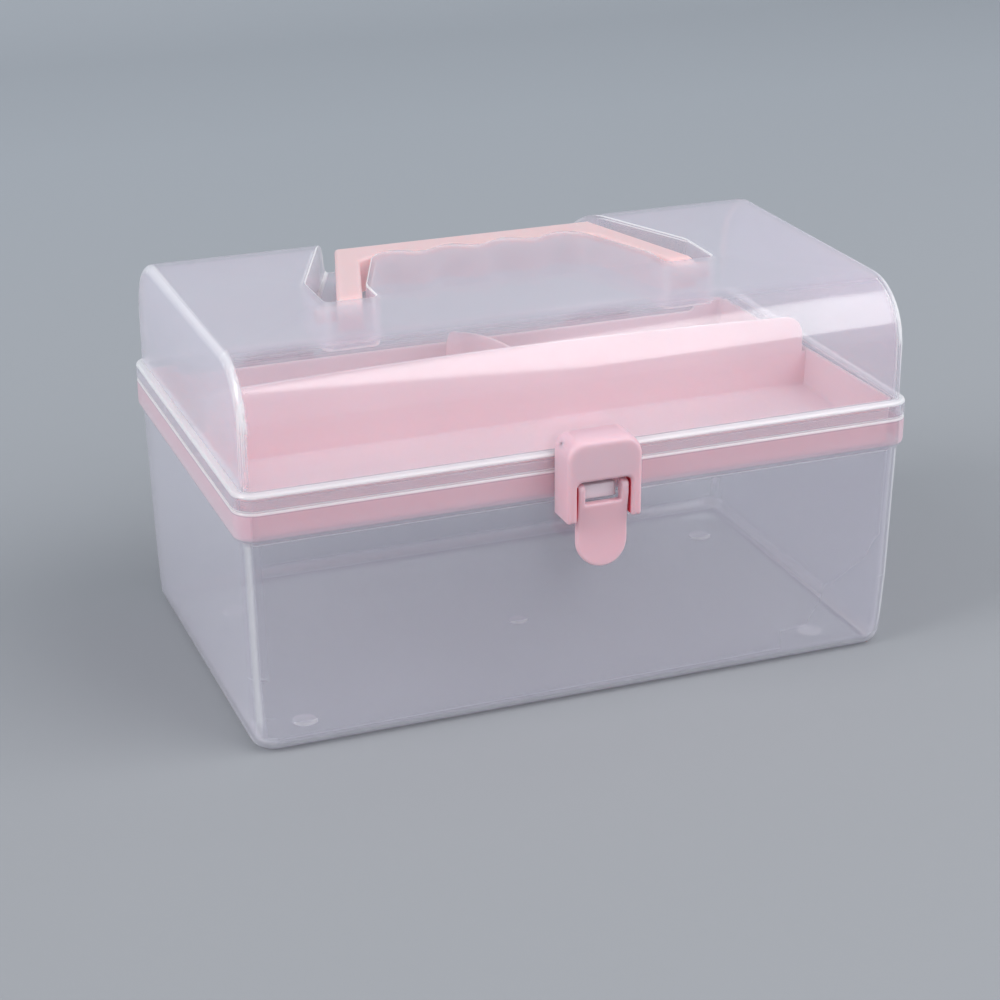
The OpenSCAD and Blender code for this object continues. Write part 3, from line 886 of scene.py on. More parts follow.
@dataclass
class Box(Piece):
    """The box: tub, rim band, locating lip, tray ledge, catch, hinge lugs and moulding marks."""

    edge_r: float = 6.0
    corner_more: float = 2.5
    corner_top: float = 30.0
    levels: tuple[float, ...] = (14.0, 30.0, 50.0, 70.0)
    flare_h: float = 2.6
    rim_soft: float = 0.7
    over: float = 0.02
    bevel: float = 0.3
    root: float = 0.6
    ledge_in: float = 8.85
    ledge_top: float = 83.3
    ledge_t: float = 1.6
    catch_half: float = 6.4
    catch_out: float = 7.2
    catch_low: float = 85.0
    catch_top: float = 90.5
    catch_soft: float = 0.7
    lug_apart: float = 11.3
    lug_l: float = 6.0
    lug_web: Pair = (-6.4, -1.2)
    mark_r: float = 4.8
    mark_in: Pair = (27.0, 28.5)
    mark_ahead: float = 6.0
    gate_r: float = 3.9
    gate_y: float = -5.5

    def profile(self) -> Profile:
        """Inset from the rim and height of each ring, from the outer floor round to the inner floor.

        Returns:
            The profile.
        """
        s = self.sizes
        step_z = s.seam - s.band
        foot = s.step + s.draft
        outer = foot_round(foot, 0.0, self.edge_r, self.edge_r, [0, 10, 22, 36, 50, 64, 78, 90])
        outer += [(s.step + s.draft * (1 - z / step_z), z) for z in (*self.levels, step_z - 0.4)]
        outer += foot_round(0.0, step_z - 0.2, s.step, self.flare_h, [20, 42, 66, 90])
        outer += brow_round(s.seam - self.over, self.rim_soft, [0, 30, 60, 90])
        out, back, top, cut = s.lip_in, s.lip_in + s.lip_t, s.seam + s.lip_h, self.bevel
        lip = [(out, s.seam - self.over), (out, s.seam + 0.5), (out, top - cut), (out + cut, top)]
        lip += [(back - cut, top), (back, top - cut), (back, s.seam), (back, self.ledge_top + self.root)]
        edge, under = self.ledge_in, self.ledge_top - self.ledge_t
        wall = s.step + s.wall
        lip += [(back + self.root, self.ledge_top), (edge - cut, self.ledge_top)]
        lip += [(edge, self.ledge_top - cut), (edge, under + 0.2)]
        lip += [(edge - 0.2, under), (wall + self.over, under)]
        inner_r = self.edge_r - s.wall
        inner = [(wall + s.draft * (1 - z / step_z), z) for z in self.levels[::-1]]
        inner += foot_round(wall + s.draft, s.wall, inner_r, inner_r, [90, 76, 62, 48, 34, 20, 9, 0])
        return guarded(outer + lip + inner)

    def lean(self, z: float) -> float:
        """How much larger the corners' radius is at a height than the inset alone would leave it.

        Args:
            z: The height.

        Returns:
            The difference.
        """
        s = self.sizes
        step_z = s.seam - s.band
        more = self.corner_more * max(1 - z / self.corner_top, 0)
        return s.draft * max(1 - z / step_z, 0) + s.step / 2 * (z < step_z) + more

    def marks(self, surface: Surface) -> None:
        """Adds the four round moulding marks and the gate mark on the floor.

        Args:
            surface: Where they go.
        """
        s = self.sizes
        half_x, half_y = s.half_l - self.mark_in[0], s.half_w - self.mark_in[1]
        spots = [(x * half_x, y * half_y - self.mark_ahead, self.mark_r) for x in SIDES for y in SIDES]
        for x, y, r in [*spots, (0.0, self.gate_y, self.gate_r)]:
            rows = [(1.2, r), (1.75, r), (2.0, r - 0.15), (2.1, r - 0.5), (1.95, r - 1.1), (1.8, r - 1.5)]
            surface.turned((x, y, 0.0), [*rows, (1.75, 0.3)], 2, 40)

    def bends(self, points: Array, bends: Array) -> Array:
        """Bends with a painted highlight line up the corners, and a painted highlight on the front half of
        each floor mark, the back half left clear.

        Args:
            points: Places in millimetres.
            bends: The bend at each place.

        Returns:
            The changed bends.
        """
        s = self.sizes
        y, z = points[:, 1], points[:, 2]
        corner_y = np.sign(y) * (s.half_w - self.mark_in[1]) - self.mark_ahead
        middle = np.where(np.abs(y - self.gate_y) < 20, self.gate_y, corner_y)
        from_end, from_side = s.half_l - np.abs(points[:, 0]), s.half_w - np.abs(y)
        # painted highlight: a thin white line up each vertical corner, where a lamp's reflection runs
        painted_corner_highlight = (np.abs(from_end - from_side) < 1.6) & (from_end < 9) & (z > 8) & (z < s.seam - s.band)
        kept = np.where(painted_corner_highlight, 0.55, s.seam_bends(points, bends))
        kept = np.where((z > 1.62) & (z < 4.0), np.maximum(kept, 0.3), kept)
        # painted highlight: the front half of each floor mark is whitened fully as a crescent of reflected
        # light, the back half not at all
        painted_crescent_zone = (z > 1.62) & (z < 2.18) & (from_side > 9.5)
        return np.where(painted_crescent_zone, np.where(y < middle - 1.2, 1.0, 0.0), kept)

    def surface(self) -> Surface:
        """The tub with everything that is moulded on it.

        Returns:
            Its surfaces.
        """
        s = self.sizes
        made = Surface()
        made.loft([ring(s, inset, z, self.lean(z)) for inset, z in self.profile()])
        low = (-self.catch_half, -s.half_w - self.catch_out, self.catch_low)
        made.block(low, (self.catch_half, -s.half_w + 1.0, self.catch_top), self.catch_soft)
        for side in SIDES:
            for end in SIDES:
                hinge_part(made, s, side * s.hinge_x + end * self.lug_apart, self.lug_l, self.lug_web, 0.5)
        self.marks(made)
        return made


@dataclass
class Lid(Piece):
    """The lid: domed shell with the handle's recess, flange, hinge knuckles and the hood's barrel."""

    recess_half: float = 77.3
    recess_front: float = -14.5
    recess_bend: float = 11.0
    recess_slant: float = 0.41
    recess_depth: float = 17.5
    recess_r: float = 2.4
    bend_r: float = 12.0
    island_half: float = 57.5
    island_bend: float = 0.0
    island_slant: float = 0.39
    island_back: float = 37.3
    island_r: float = 3.0
    groove_pitch: float = 23.3
    groove_half: float = 2.3
    groove_side: float = 4.5
    groove_points: int = 90
    skirt_t: float = 1.3
    flange_soft: float = 1.1
    knuckle_l: float = 16.0
    knuckle_web: Pair = (1.2, 3.2)
    barrel_half: float = 10.65
    barrel_out: float = 3.5
    barrel_up: float = 10.3
    barrel_r: float = 2.2
    wall_form: Wall = field(default_factory=Wall)

    def wave(self, x: Array) -> Array:
        """The finger grooves: a cosine along the bar."""
        return -self.groove_half * np.cos(2 * math.pi * x / self.groove_pitch)

    def recess(self, back: float) -> Outline:
        """The recess' upper edge, counter-clockwise round the sunk region, closed behind the lid.

        Args:
            back: How far back the open end reaches.

        Returns:
            The outline.
        """
        side = self.island_back - self.groove_side
        inner = self.island_half - self.island_slant * (side - self.island_bend)
        x = np.linspace(inner - 3.2, -(inner - 3.2), self.groove_points)
        wavy = np.stack([x, self.island_back + self.wave(x)], axis=1)
        arm = [(float(wavy[0, 0]), float(wavy[0, 1]), 0.0), (inner, side, self.island_r)]
        arm += [(self.island_half, self.island_bend, self.bend_r)]
        arm += [(half, self.recess_front, self.recess_r) for half in (self.island_half, self.recess_half)]
        arm += [(self.recess_half, self.recess_bend, self.bend_r)]
        arm += [(self.recess_half - self.recess_slant * (back - self.recess_bend), back, 0.0)]
        right = rounded(arm, closed=False)
        left = (right * [-1, 1])[::-1]
        return Outline(np.concatenate([right, left[:-1], wavy[::-1][:-1]]))

    def dome(self, spots: Array, inset: float) -> Array:
        """Height of the dome: flat top, round shoulders front and back, small rounds at the ends.

        Args:
            spots: Plan points.
            inset: How far this surface lies inside the outer one.

        Returns:
            Heights.
        """
        s = self.sizes
        end = s.end_r - inset
        half_x = s.half_l - s.lid_step - inset
        sag = quarter(end - (half_x - np.abs(spots[:, 0])), end)
        radius = s.shoulder - inset - sag
        over = np.clip(np.abs(spots[:, 1]) - (s.half_w - s.lid_step - s.shoulder), 0, radius)
        return s.top - s.shoulder + np.sqrt(radius**2 - over**2)

    def skin(self, surface: Surface, inset: float, low: float) -> Array:
        """Adds the dome's outer or inner surface, down to where it meets the flange.

        Args:
            surface: Where it goes.
            inset: 0 for the outer surface, the wall for the inner one.
            low: Height of its lower border.

        Returns:
            The border's edges, as pairs of x and y points.
        """
        s = self.sizes
        half_x, half_y = s.half_l - s.lid_step - inset, s.half_w - s.lid_step - inset
        edge = oblong(half_x, half_y, s.end_r - inset, 7)
        radius = s.shoulder - inset
        rows = [half_y - radius + radius * math.sin(a) for a in np.radians(np.linspace(0, 88, 17))]
        lines = [across(sign * y, half_x) for y in rows for sign in SIDES]
        ends = [half_x - (s.end_r - inset) * (1 - math.cos(a)) for a in np.radians([25, 45, 62, 76, 90])]
        lines += [along(sign * x, -half_y, half_y) for x in ends for sign in SIDES]
        sunk = self.recess(half_y + 6)
        lines += [closed_line(sunk.moved(mark - inset)) for mark in self.wall_form.marks()]
        plan = Plan(edge, lines)
        depth = sunk.depth(plan.spots) + inset
        sunk_z = s.top - inset - self.wall_form.drop(depth, self.recess_depth)
        z = np.minimum(self.dome(plan.spots, inset), sunk_z)
        plan.solid(surface, z, np.full(len(z), low), floor=False)
        return plan.spots[plan.rim()]

    def close(self, surface: Surface, outer: Array, inner: Array, low: float) -> None:
        """Joins the lower borders of the two surfaces with a flat strip.

        Args:
            surface: Where it goes.
            outer: Edges of the outer border.
            inner: Edges of the inner border.
            low: Height of the strip.
        """
        points = np.concatenate([outer.reshape(-1, 2), inner.reshape(-1, 2)])
        edges = [(2 * i, 2 * i + 1) for i in range(len(points) // 2)]
        out = delaunay_2d_cdt([Vector(p) for p in points.tolist()], edges, [], 0, 1e-5)
        spots = np.array([tuple(v) for v in out[0]])
        tris = np.array([f for f in out[2] if len(f) == 3])
        within = oblong(*np.abs(inner.reshape(-1, 2)).max(axis=0), self.sizes.end_r - self.sizes.wall, 7)
        tris = tris[within.moved(0.05).depth(spots[tris].mean(axis=1)) < 0]
        surface.add(np.concatenate([spots, np.full((len(spots), 1), low)], axis=1), tris.tolist())

    def flange(self, surface: Surface) -> None:
        """Adds the flange ring: outer face with a soft upper edge, step in to the dome, inner face.

        Args:
            surface: Where it goes.
        """
        s = self.sizes
        top, low = s.seam + s.flange, s.seam + 0.2
        under = top - s.wall
        dome, opening, skirt = s.lid_step, s.lid_step + s.wall, self.skirt_t
        rows = [(0.5, low), (0.15, low + 0.15), (0, low + 0.5)]
        rows += brow_round(top, self.flange_soft, [0, 22, 45, 68, 90])
        rows += [(dome - 0.5, top), (dome - 0.1, top + 0.15), (dome + 0.4, top + 0.15), (opening, top - 0.1)]
        rows += [(opening, under + 0.2), (opening - 0.2, under), (skirt + 0.6, under)]
        rows += [(skirt, under - 0.6), (skirt, low)]
        surface.loft([ring(s, inset, z) for inset, z in guarded([*rows, rows[0]])[:-1]], wrap=True)

    def barrel(self, surface: Surface) -> None:
        """Adds the barrel that the latch hood's pegs turn in, with its neck to the flange.

        Args:
            surface: Where it goes.
        """
        s = self.sizes
        half, y, z = self.barrel_half, -s.half_w - self.barrel_out, s.seam + self.barrel_up
        surface.tube((0.0, y, z), 2 * half, self.barrel_r)
        surface.block((-half, y - 1.6, z - 4.4), (half, y + 0.9, z - 1.4), 0.4)
        surface.block((-half, y - 0.4, z - 8.0), (half, -s.half_w + 0.6, z - 4.7), 0.4)

    def bends(self, points: Array, bends: Array) -> Array:
        """Bends of the lid, with the seam's changes."""
        return self.sizes.seam_bends(points, bends)

    def surface(self) -> Surface:
        """The shell with everything that is moulded on it.

        Returns:
            Its surfaces.
        """
        s = self.sizes
        made = Surface()
        low = s.seam + s.flange - 0.3
        outer = self.skin(made, 0.0, low)
        inner = self.skin(made, s.wall, low)
        self.close(made, outer, inner, low)
        self.flange(made)
        for side in SIDES:
            hinge_part(made, s, side * s.hinge_x, self.knuckle_l, self.knuckle_web, 0.4)
        self.barrel(made)
        return made


@dataclass
class Tray(Piece):
    """The lift-out tray: shallow tub with a sloping rim, a tall long divider and a cross divider."""

    gap: float = 0.4
    base: float = 83.5
    height: float = 17.5
    rim_fall: float = 3.0
    dip: float = 4.6
    dip_in: float = 16.0
    dip_run: float = 6.0
    dip_deep: float = 4.2
    wall_t: float = 1.4
    corner: float = 4.0
    divider_h: float = 32.5
    divider_y: float = -5.0
    divider_in: float = 3.5
    divider_arch: float = 2.4
    divider_r: float = 7.0
    fin_r: float = 300.0
    fin_apex: float = 30.0
    fin_end_r: float = 11.0
    outer: Wall = Wall(0.5, 0.6, 1.2)
    thin: Wall = Wall(0.5, 0.3, 1.2)

    @property
    def inner(self) -> Wall:
        """The rim wall's inner face, whose lip meets the outer face's."""
        return Wall(self.wall_t / 2 - 0.02, 0.7, 1.4)

    @property
    def half(self) -> Pair:
        """Half its length and half its width."""
        inset = self.sizes.lid_step + self.sizes.wall + self.gap
        return self.sizes.half_l - inset, self.sizes.half_w - inset

    @property
    def reach(self) -> Pair:
        """Where the long divider ends at the sides, and the cross divider at the back."""
        half_x, half_y = self.half
        return half_x - self.divider_in, half_y - self.wall_t / 2 - 0.4

    def rim(self, x: Array, y: Array) -> Array:
        """Height of the rim: it falls evenly from front to back and dips between the back corners.

        Args:
            x: Places along the case.
            y: Places from front to back.

        Returns:
            Heights.
        """
        half_x, half_y = self.half
        slope = self.base + self.height - self.rim_fall * (y + half_y) / (2 * half_y)
        t = np.clip((half_x - self.dip_in + self.dip_run - np.abs(x)) / self.dip_run, 0, 1)
        low = self.base + self.height - self.rim_fall - self.dip * t * t * (3 - 2 * t)
        return np.where((y > half_y - self.dip_deep) & (t > 0), np.minimum(slope, low), slope)

    def long_top(self, x: Array) -> Array:
        """Height of the long divider's top: a shallow arch with round ends.

        Args:
            x: Places along the case.

        Returns:
            Heights.
        """
        end = self.reach[0] - self.divider_r
        arch = (end**2 / self.divider_arch + self.divider_arch) / 2
        over = np.clip(np.abs(x) - end, 0, self.divider_r)
        return self.base + self.divider_h - (arch - np.sqrt(arch**2 - x**2)) - quarter(over, self.divider_r)

    def fin_top(self, y: Array) -> Array:
        """Height of the cross divider's top: a large arc that ends in a small one.

        Args:
            y: Places from front to back.

        Returns:
            Heights.
        """
        end = self.reach[1] - self.fin_end_r
        top = self.base + self.divider_h - 0.6
        over = np.clip(y - end, 0, self.fin_end_r)
        run = np.minimum(y, end) + self.fin_apex
        return top - (self.fin_r - np.sqrt(self.fin_r**2 - run**2)) - quarter(over, self.fin_end_r)

    def lines(self, edge: Outline) -> list[Array]:
        """The plan's lines: along the walls, the dividers, their tops' rounds and the dip.

        Args:
            edge: The plan's edge.

        Returns:
            The lines.
        """
        (half_x, half_y), (end, back) = self.half, self.reach
        marks = {round(m + self.wall_t, 3) for m in self.inner.marks()}
        marks |= {round(m + self.outer.lip, 3) for m in self.outer.marks()}
        lines = [closed_line(edge.moved(m)) for m in sorted(marks) if m > 0]
        ridge = [m + self.wall_t / 2 for m in self.thin.marks()]
        lines += [across(self.divider_y + sign * m, half_x - 0.3) for m in ridge for sign in SIDES]
        lines += [along(sign * m, self.divider_y, half_y - 0.3) for m in ridge for sign in SIDES]
        ends = [end - self.divider_r * (1 - math.sin(a)) for a in np.radians(np.linspace(0, 90, 13))]
        ends += [end + 0.15, *np.linspace(0, end - self.divider_r, 14)[1:-1]]
        lines += [along(sign * x, self.divider_y - 3, self.divider_y + 3) for x in ends for sign in SIDES]
        fin_end = back - self.fin_end_r
        rows = [*np.linspace(self.divider_y, fin_end, 16)]
        rows += [fin_end + self.fin_end_r * math.sin(a) for a in np.radians(np.linspace(8, 90, 12))]
        lines += [across(y, 3.0) for y in rows]
        dips = np.linspace(half_x - self.dip_in, half_x - self.dip_in + self.dip_run, 7)
        lines += [along(sign * x, half_y - self.dip_deep - 0.4, half_y) for x in dips for sign in SIDES]
        return lines + [across(half_y - self.dip_deep, half_x), across(half_y - self.dip_deep + 0.1, half_x)]

    def top(self, x: Array, y: Array, depth: Array, rim: Array) -> Array:
        """Height of the upper side, the highest of tub, long divider and cross divider.

        Args:
            x: Places along the case.
            y: Places from front to back.
            depth: How far they lie inside the plan's edge.
            rim: The rim's height there.

        Returns:
            Heights.
        """
        inner, (end, back), middle = self.inner, self.reach, self.wall_t / 2
        floor = self.base + self.wall_t
        tub = rim - inner.drop(depth - self.wall_t, rim - floor) - quarter(inner.lip - depth, inner.lip)
        past = np.clip(np.abs(x) - end, 0, None)
        long_top = self.long_top(np.clip(x, -end, end))
        long_top = np.where(past > 0, np.maximum(long_top - past * 400, rim - 1.0), long_top)
        long_ridge = long_top - self.thin.drop(np.abs(y - self.divider_y) - middle, long_top - floor)
        fin_top = np.where(y > back, self.base + 2, self.fin_top(np.clip(y, self.divider_y, back)))
        before = np.clip(self.divider_y - y, 0, None)
        fin_ridge = fin_top - self.thin.drop(np.abs(x) - middle, fin_top - floor) - before * 40
        return np.maximum.reduce([tub, long_ridge, fin_ridge])

    def surface(self) -> Surface:
        """The tray, as one solid between its upper side and its underside.

        Returns:
            Its surfaces.
        """
        edge = oblong(*self.half, self.corner, 12)
        plan = Plan(edge, self.lines(edge))
        x, y = plan.spots[:, 0], plan.spots[:, 1]
        depth, rim, lip = edge.depth(plan.spots), self.rim(x, y), self.inner.lip
        top = self.top(x, y, depth, rim)
        under = rim - lip - self.outer.drop(depth - self.outer.lip, rim - lip - self.base)
        made = Surface()
        plan.solid(made, top, np.minimum(under, top - 0.01))
        return made


def mirrored(corners: Sequence[Triple]) -> list[Triple]:
    """Corners, as for rounded, and then their mirror images in reverse order."""
    return [*corners, *((-x, y, r) for x, y, r in corners[::-1])]


@dataclass
class Handle(Piece):
    """The folding handle: two slanted arms and a grooved grip, hollow underneath, with pivot pegs."""

    lid: Lid
    back: float = 52.2
    half_l: float = 53.3
    slant: float = 0.294
    arm: float = 9.8
    inner_r: float = 3.0
    back_r: float = 1.6
    top: float = 144.6
    thick: float = 13.0
    pivot: float = -6.5
    peg_r: float = 3.0
    gap: float = 1.4
    soft: float = 1.3
    skin: float = 2.0
    hollow: Wall = Wall(lip=0.5, lean=0.3, foot=0.8)

    def reach(self, y: float) -> float:
        """How far the arms' outer faces are from the middle at depth y."""
        return self.half_l + self.slant * (self.back - y)

    def edge(self) -> Outline:
        """The handle's plan.

        Returns:
            Its outline.
        """
        front, grip = self.pivot - self.thick / 2, self.lid.island_back + self.gap
        side = grip - self.lid.groove_side
        inner = self.reach(side) - self.arm
        x = np.linspace(-(inner - 3.4), inner - 3.4, self.lid.groove_points)
        wavy = np.stack([x, grip + self.lid.wave(x)], axis=1)
        path = [(float(wavy[-1, 0]), float(wavy[-1, 1]), 0.0), (inner, side, self.inner_r)]
        path += [(self.reach(front) - self.arm, front, 0.0), (self.reach(front), front, 0.0)]
        path += [(self.half_l, self.back, self.back_r), (0.0, self.back, 0.0)]
        right = rounded(path, closed=False)
        left = (right * [-1, 1])[::-1]
        return Outline(np.concatenate([right[:-1], left[:-1], wavy[1:]]))

    def surface(self) -> Surface:
        """The handle with its pegs.

        Returns:
            Its surfaces.
        """
        edge, radius, hollow = self.edge(), self.thick / 2, self.hollow
        marks = [self.soft * s for s in EDGE_MARKS] + [self.skin + m for m in hollow.marks()[1:]]
        lines = [closed_line(edge.moved(m)) for m in marks]
        rows = [self.pivot - radius * math.sin(a) for a in np.radians(np.linspace(0, 88, 12))]
        rows += [self.pivot + radius + m for m in hollow.marks()]
        lines += [across(y, sign * 80, sign * 50) for y in rows for sign in SIDES]
        plan = Plan(edge, lines)
        y = plan.spots[:, 1]
        depth = edge.depth(plan.spots)
        sides = np.minimum(depth, np.where(y < self.pivot, 9.0, depth))
        fall = quarter(self.soft - sides, self.soft)
        ahead = np.clip(self.pivot - y, 0, radius)
        bend = radius - np.sqrt(radius**2 - ahead**2)
        middle = self.top - radius
        top = np.maximum(self.top - bend - fall, middle)
        inside = np.minimum(depth - self.skin, y - self.pivot - radius)
        cave = hollow.drop(inside, self.thick - self.skin)
        low = self.top - self.thick + bend + np.maximum(cave, 0)
        bottom = np.minimum(low, middle + np.maximum(cave - radius, 0))
        made = Surface()
        plan.solid(made, top, np.minimum(bottom, top - 0.01 * (ahead < radius - 0.01)))
        start, end = self.reach(self.pivot) - 2.0, self.lid.recess_half + 1.4
        made.pegs(((start + end) / 2, self.pivot, middle), end - start, self.peg_r)
        return made


@dataclass
class Hood(Piece):
    """The latch hood: a shell with a window, round head and two legs."""

    half: float = 14.25
    front: float = -92.0
    top: float = 110.0
    fall: float = 1.8
    low: float = 78.5
    wall_t: float = 1.6
    leg: float = 3.85
    leg_t: float = 5.6
    leg_r: float = 0.9
    corner: float = 7.0
    soft: float = 1.5
    bulge: float = 3.0
    window_top: float = 93.6
    window_r: float = 2.2
    axis_y: float = -82.5
    axis_z: float = 105.3
    head_r: float = 4.9
    peg_x: float = 10.5
    peg_l: float = 5.4
    peg_r: float = 1.2
    step: Wall = Wall(lip=0.2, lean=0.15, foot=0.4)

    @property
    def crown(self) -> float:
        """Height of the head's corners."""
        return self.top - self.fall / 3

    def edge(self) -> Outline:
        """The hood's front outline, with the slot between the legs.

        Returns:
            The outline.
        """
        slot = self.half - self.leg
        legs = [(slot, self.low, self.leg_r), (self.half, self.low, self.leg_r)]
        window = [(-slot, self.window_top, self.window_r), (slot, self.window_top, self.window_r)]
        return Outline(rounded(mirrored([*legs, (self.half, self.crown, self.corner)]) + window, count=9))

    def lines(self, edge: Outline, shell: Outline, lintel: float) -> list[Array]:
        """The plan's lines: along the soft edge, the bulge of the head, and the step to the thin shell.

        Args:
            edge: The hood's outline.
            shell: The same without the slot.
            lintel: Height from which the shell is thin.

        Returns:
            The lines.
        """
        lines = [closed_line(edge.moved(self.soft * s)) for s in (0.04, 0.16, 0.38, 0.66, 1.0)]
        lines += [closed_line(shell.moved(m)) for m in (0.3, 0.8, 1.6, 2.3, 3.0)]
        lines += [closed_line(shell.moved(self.wall_t + m)) for m in self.step.marks()]
        return lines + [across(lintel + m, self.half) for m in self.step.marks()]

    def surface(self) -> Surface:
        """The hood with its pegs.

        Returns:
            Its surfaces.
        """
        edge = self.edge()
        side = [(self.half, self.low - 20, 0), (self.half, self.crown, self.corner)]
        shell = Outline(rounded(mirrored(side), count=9))
        lintel = self.window_top + self.wall_t
        plan = Plan(edge, self.lines(edge, shell, lintel), Plane.FRONT)
        z = plan.spots[:, 1]
        depth, under = edge.depth(plan.spots), shell.depth(plan.spots)
        headward = np.clip((z - (self.crown - self.corner)) / self.corner, 0, 1)
        bulge = quarter(self.bulge - under, self.bulge) * headward * 0.8
        front = self.front + quarter(self.soft - depth, self.soft) + bulge
        up = np.clip(z - self.axis_z, 0, self.head_r)
        head = self.axis_y + np.sqrt(self.head_r**2 - up**2)
        rim_back = min(-self.sizes.half_w - 0.4, self.axis_y + self.head_r)
        plate = np.where(z > self.axis_z, head, rim_back)
        inner = self.front + np.where(z > lintel, self.wall_t, self.leg_t)
        past = under - self.wall_t
        past = np.where(z > lintel, past, np.minimum(past, 9.0))
        back = plate - self.step.drop(past, 1.0) * (plate - inner)
        made = Surface()
        plan.solid(made, front, np.maximum(back, front + 0.4))
        made.pegs((self.peg_x, self.axis_y, self.axis_z), self.peg_l, self.peg_r)
        return made


@dataclass
class Lever(Piece):
    """The latch lever: two arms on pegs, a cross bar and a curved tongue."""

    half: float = 9.7
    arm: float = 2.8
    y: float = -88.5
    z: float = 90.0
    end_r: float = 2.4
    soft: float = 0.9
    bar_down: float = 5.4
    bar_t: float = 3.0
    tongue_down: float = 29.6
    tongue_t: float = 2.8
    peg_x: float = 10.55
    peg_l: float = 3.7
    peg_r: float = 1.1

    def edge(self) -> Outline:
        """The lever's front outline, in heights from its axis.

        Returns:
            The outline.
        """
        slot, tip = self.half - self.arm, self.half - 0.2
        inside = [(slot, self.end_r, 1.0), (slot, -self.bar_down, 0.8)]
        outside = [(-self.half, self.end_r, 1.0), (-self.half, -self.tongue_down, tip)]
        return Outline(rounded(mirrored(inside) + mirrored(outside), count=14))

    def surface(self) -> Surface:
        """The lever with its pegs.

        Returns:
            Its surfaces.
        """
        edge = self.edge()
        lines = [closed_line(edge.moved(self.soft * s)) for s in EDGE_MARKS]
        lines += [across(v, self.half) for v in np.linspace(-self.tongue_down + 1, self.end_r - 0.2, 44)]
        plan = Plan(edge, lines, Plane.FRONT)
        v = plan.spots[:, 1]
        t = np.clip((-v - 3.0) / (self.tongue_down - 3.0), 0, 1)
        bend = 1.6 * np.sin(np.radians(160) * t) - 0.6 * t * t
        round_end = np.sqrt(np.maximum(self.end_r**2 - np.clip(v, 0, self.end_r) ** 2, 0.01))
        fall = quarter(self.soft - edge.depth(plan.spots), self.soft)
        front = self.y - round_end + bend + fall
        foot = np.clip((-v - self.bar_down - self.bar_t) / 1.2, 0, 1)
        blend = foot * foot * (3 - 2 * foot)
        behind = self.y + np.minimum(round_end, 2.0) - 0.1
        tail = self.y - self.end_r + bend + self.tongue_t
        back = behind * (1 - blend) + tail * blend - fall
        plan.spots[:, 1] += self.z
        made = Surface()
        plan.solid(made, front, np.maximum(back, front + 0.3))
        made.pegs((self.peg_x, self.y, self.z), self.peg_l, self.peg_r)
        return made


# ---------------------------------------------------------------- stage, lights and camera


def towards(azimuth: float, elevation: float) -> Vector:
    """The direction from the case to a camera or lamp, in degrees round from the front and up."""
    a, e = math.radians(azimuth), math.radians(elevation)
    return Vector((math.sin(a) * math.cos(e), -math.cos(a) * math.cos(e), math.sin(e)))


@dataclass(frozen=True)
class Camera:
    """The photograph's view of the case, with its target and distance in millimetres."""

    lens: float = 85.9
    sensor: float = 36.0
    azimuth: float = -20.65
    elevation: float = 22.46
    roll: float = -0.43
    target: Triple = (-5.06, 0.0, 51.77)
    distance: float = 932.65
    clip: Pair = (0.05, 30.0)

    def make(self) -> None:
        """Places the camera and makes it the scene's."""
        back = towards(self.azimuth, self.elevation)
        data = bpy.data.cameras.new("camera")
        data.lens, data.sensor_width = self.lens, self.sensor
        data.clip_start, data.clip_end = self.clip
        made = linked("camera", data)
        aim = (-back).to_track_quat("-Z", "Y").to_matrix().to_4x4()
        turn = aim @ Matrix.Rotation(math.radians(self.roll), 4, "Z")
        made.matrix_world = Matrix.Translation((Vector(self.target) + back * self.distance) * MM) @ turn
        bpy.context.scene.camera = made


@dataclass(frozen=True)
class Softbox:
    """A rectangular lamp aimed at the case, in metres and watts."""

    name: str
    azimuth: float
    elevation: float
    distance: float
    width: float
    height: float
    power: float
    aim_z: float = 0.07

    def make(self) -> None:
        """Places the lamp."""
        way = towards(self.azimuth, self.elevation)
        data = bpy.data.lights.new(self.name, "AREA")
        data.shape, data.size, data.size_y, data.energy = "RECTANGLE", self.width, self.height, self.power
        made = linked(self.name, data)
        made.location = way * self.distance + Vector((0, 0, self.aim_z))
        made.rotation_mode = "QUATERNION"
        made.rotation_quaternion = way.to_track_quat("Z", "Y")


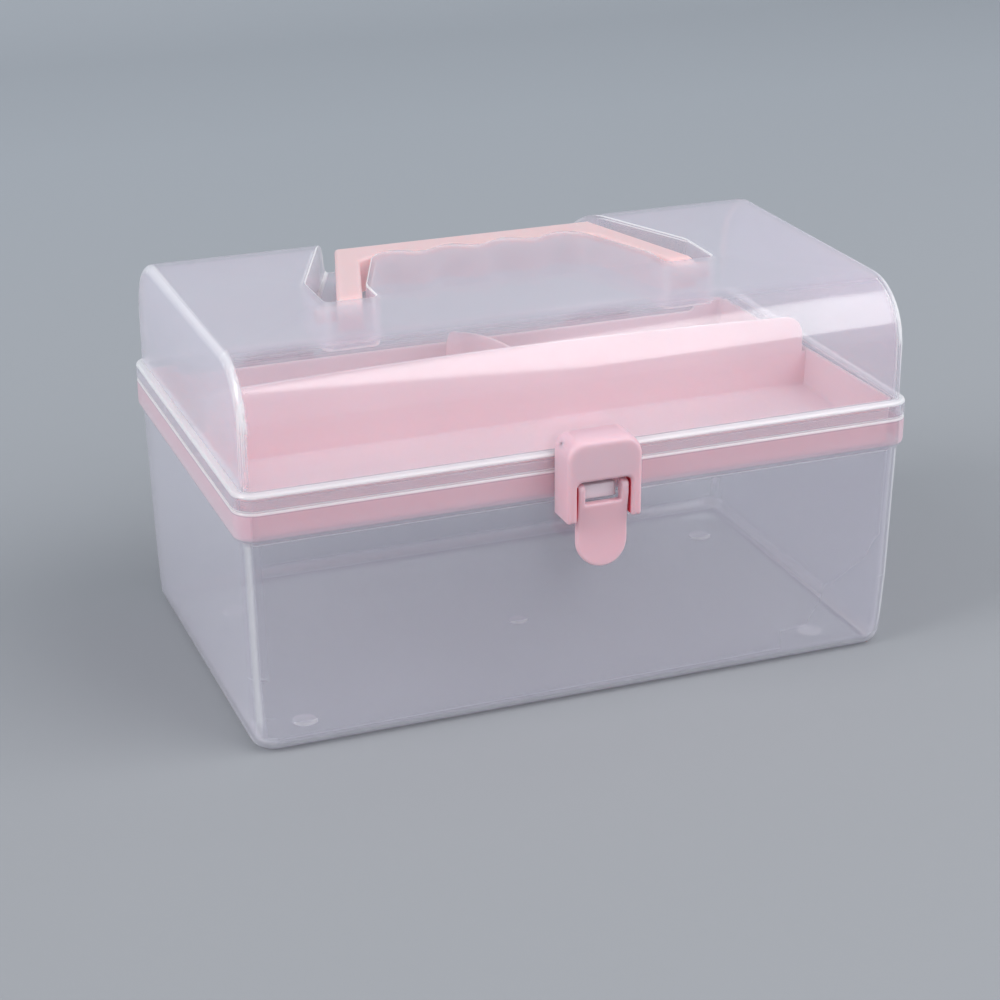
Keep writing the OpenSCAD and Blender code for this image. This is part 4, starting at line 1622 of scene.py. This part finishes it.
@dataclass(frozen=True)
class Studio:
    """Floor, backdrop, world and lamps; lengths in metres."""

    floor: Triple = (154, 156, 160)
    paper: Triple = (169, 174, 180)
    sky: Triple = (188, 193, 199)
    sky_power: float = 1.04
    half_x: float = 4.0
    front: float = -3.0
    back: float = 1.1
    bend: float = 0.5
    tall: float = 3.0
    lamps: tuple[Softbox, ...] = (
        Softbox("key", 48, 44, 1.9, 1.8, 1.5, 24.0),
        Softbox("fill", -80, 34, 3.0, 1.3, 1.8, 42.0),
    )

    def backdrop(self) -> None:
        """Makes a floor that curves up into a backdrop, as one sheet."""
        t = np.radians(np.linspace(0, 90, 17))
        y = np.concatenate([[self.front], self.back + self.bend * np.sin(t), [self.back + self.bend]])
        z = np.concatenate([[0.0], self.bend - self.bend * np.cos(t), [self.tall]])
        x = np.tile([-self.half_x, self.half_x], len(y))
        sheet = np.stack([x, np.repeat(y, 2), np.repeat(z, 2)], axis=1)
        faces = [(2 * i, 2 * i + 1, 2 * i + 3, 2 * i + 2) for i in range(len(y) - 1)]
        mesh = bpy.data.meshes.new("backdrop")
        mesh.from_pydata(sheet.tolist(), [], faces)
        mesh.polygons.foreach_set("use_smooth", np.ones(len(faces), bool))
        kit = Nodes("backdrop_paper")
        _, depth, _ = kit.place()
        far = ((depth + kit.noise(1.2, 2.0) * 0.2) * 1.1).clamp()
        inputs = {"Base Color": kit.mix(far, rgba(*self.floor), rgba(*self.paper)), "Roughness": 0.9}
        mesh.materials.append(kit.finish(kit.principled(inputs)))
        linked("backdrop", mesh)

    def world(self) -> None:
        """Fills the scene with even grey light."""
        world = bpy.data.worlds.new("studio")
        world.use_nodes = True
        shade = world.node_tree.nodes["Background"]
        shade.inputs["Color"].default_value = rgba(*self.sky)
        shade.inputs["Strength"].default_value = self.sky_power
        bpy.context.scene.world = world

    def make(self) -> None:
        """Builds everything around the case."""
        self.backdrop()
        self.world()
        for lamp in self.lamps:
            lamp.make()


def dress_pins(material: Material) -> None:
    """Gives the two CAD hinge pins their finish.

    Args:
        material: The finish.
    """
    for name in ("hinge_pin_left", "hinge_pin_right"):
        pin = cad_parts[name]
        for made in pin if isinstance(pin, (list, tuple)) else [pin]:
            if made.material_slots:
                made.material_slots[0].material = material
            else:
                made.data.materials.append(material)


def main() -> None:
    """Builds the scene in order."""
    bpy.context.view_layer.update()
    scene = bpy.context.scene
    scene.view_settings.view_transform = "Standard"
    scene.cycles.transparent_max_bounces = 24
    sizes = Sizes.from_frame()
    clear, steel = ClearPlastic().make(), PinSteel().make()
    pink = PinkPlastic("tray_pink").make()
    peach = PinkPlastic("handle_pink", (238, 202, 203)).make()
    # the latch's gap gets the painted red light beside the lever's arms
    rose = PinkPlastic("latch_pink", (238, 192, 202), gap=(0.01005, 0.00055)).make()
    Camera().make()
    Studio().make()
    lid = Lid("lid_shell", "lid", "lid", "clear_plastic", sizes)
    for piece, finish in (
        (Box("box", "base_box", "case", "clear_plastic", sizes), clear),
        (lid, clear),
        (Tray("lift_out_tray", "tray", "tray", "pink_plastic", sizes), pink),
        (Handle("grip", "handle", "handle", "pink_plastic", sizes, lid), peach),
        (Hood("hood", "latch_hood", "latch_hood", "pink_plastic", sizes), rose),
        (Lever("lever", "latch_lever", "latch_lever", "pink_plastic", sizes), rose),
    ):
        piece.build(finish)
    dress_pins(steel)


if __name__ == "__main__":
    main()
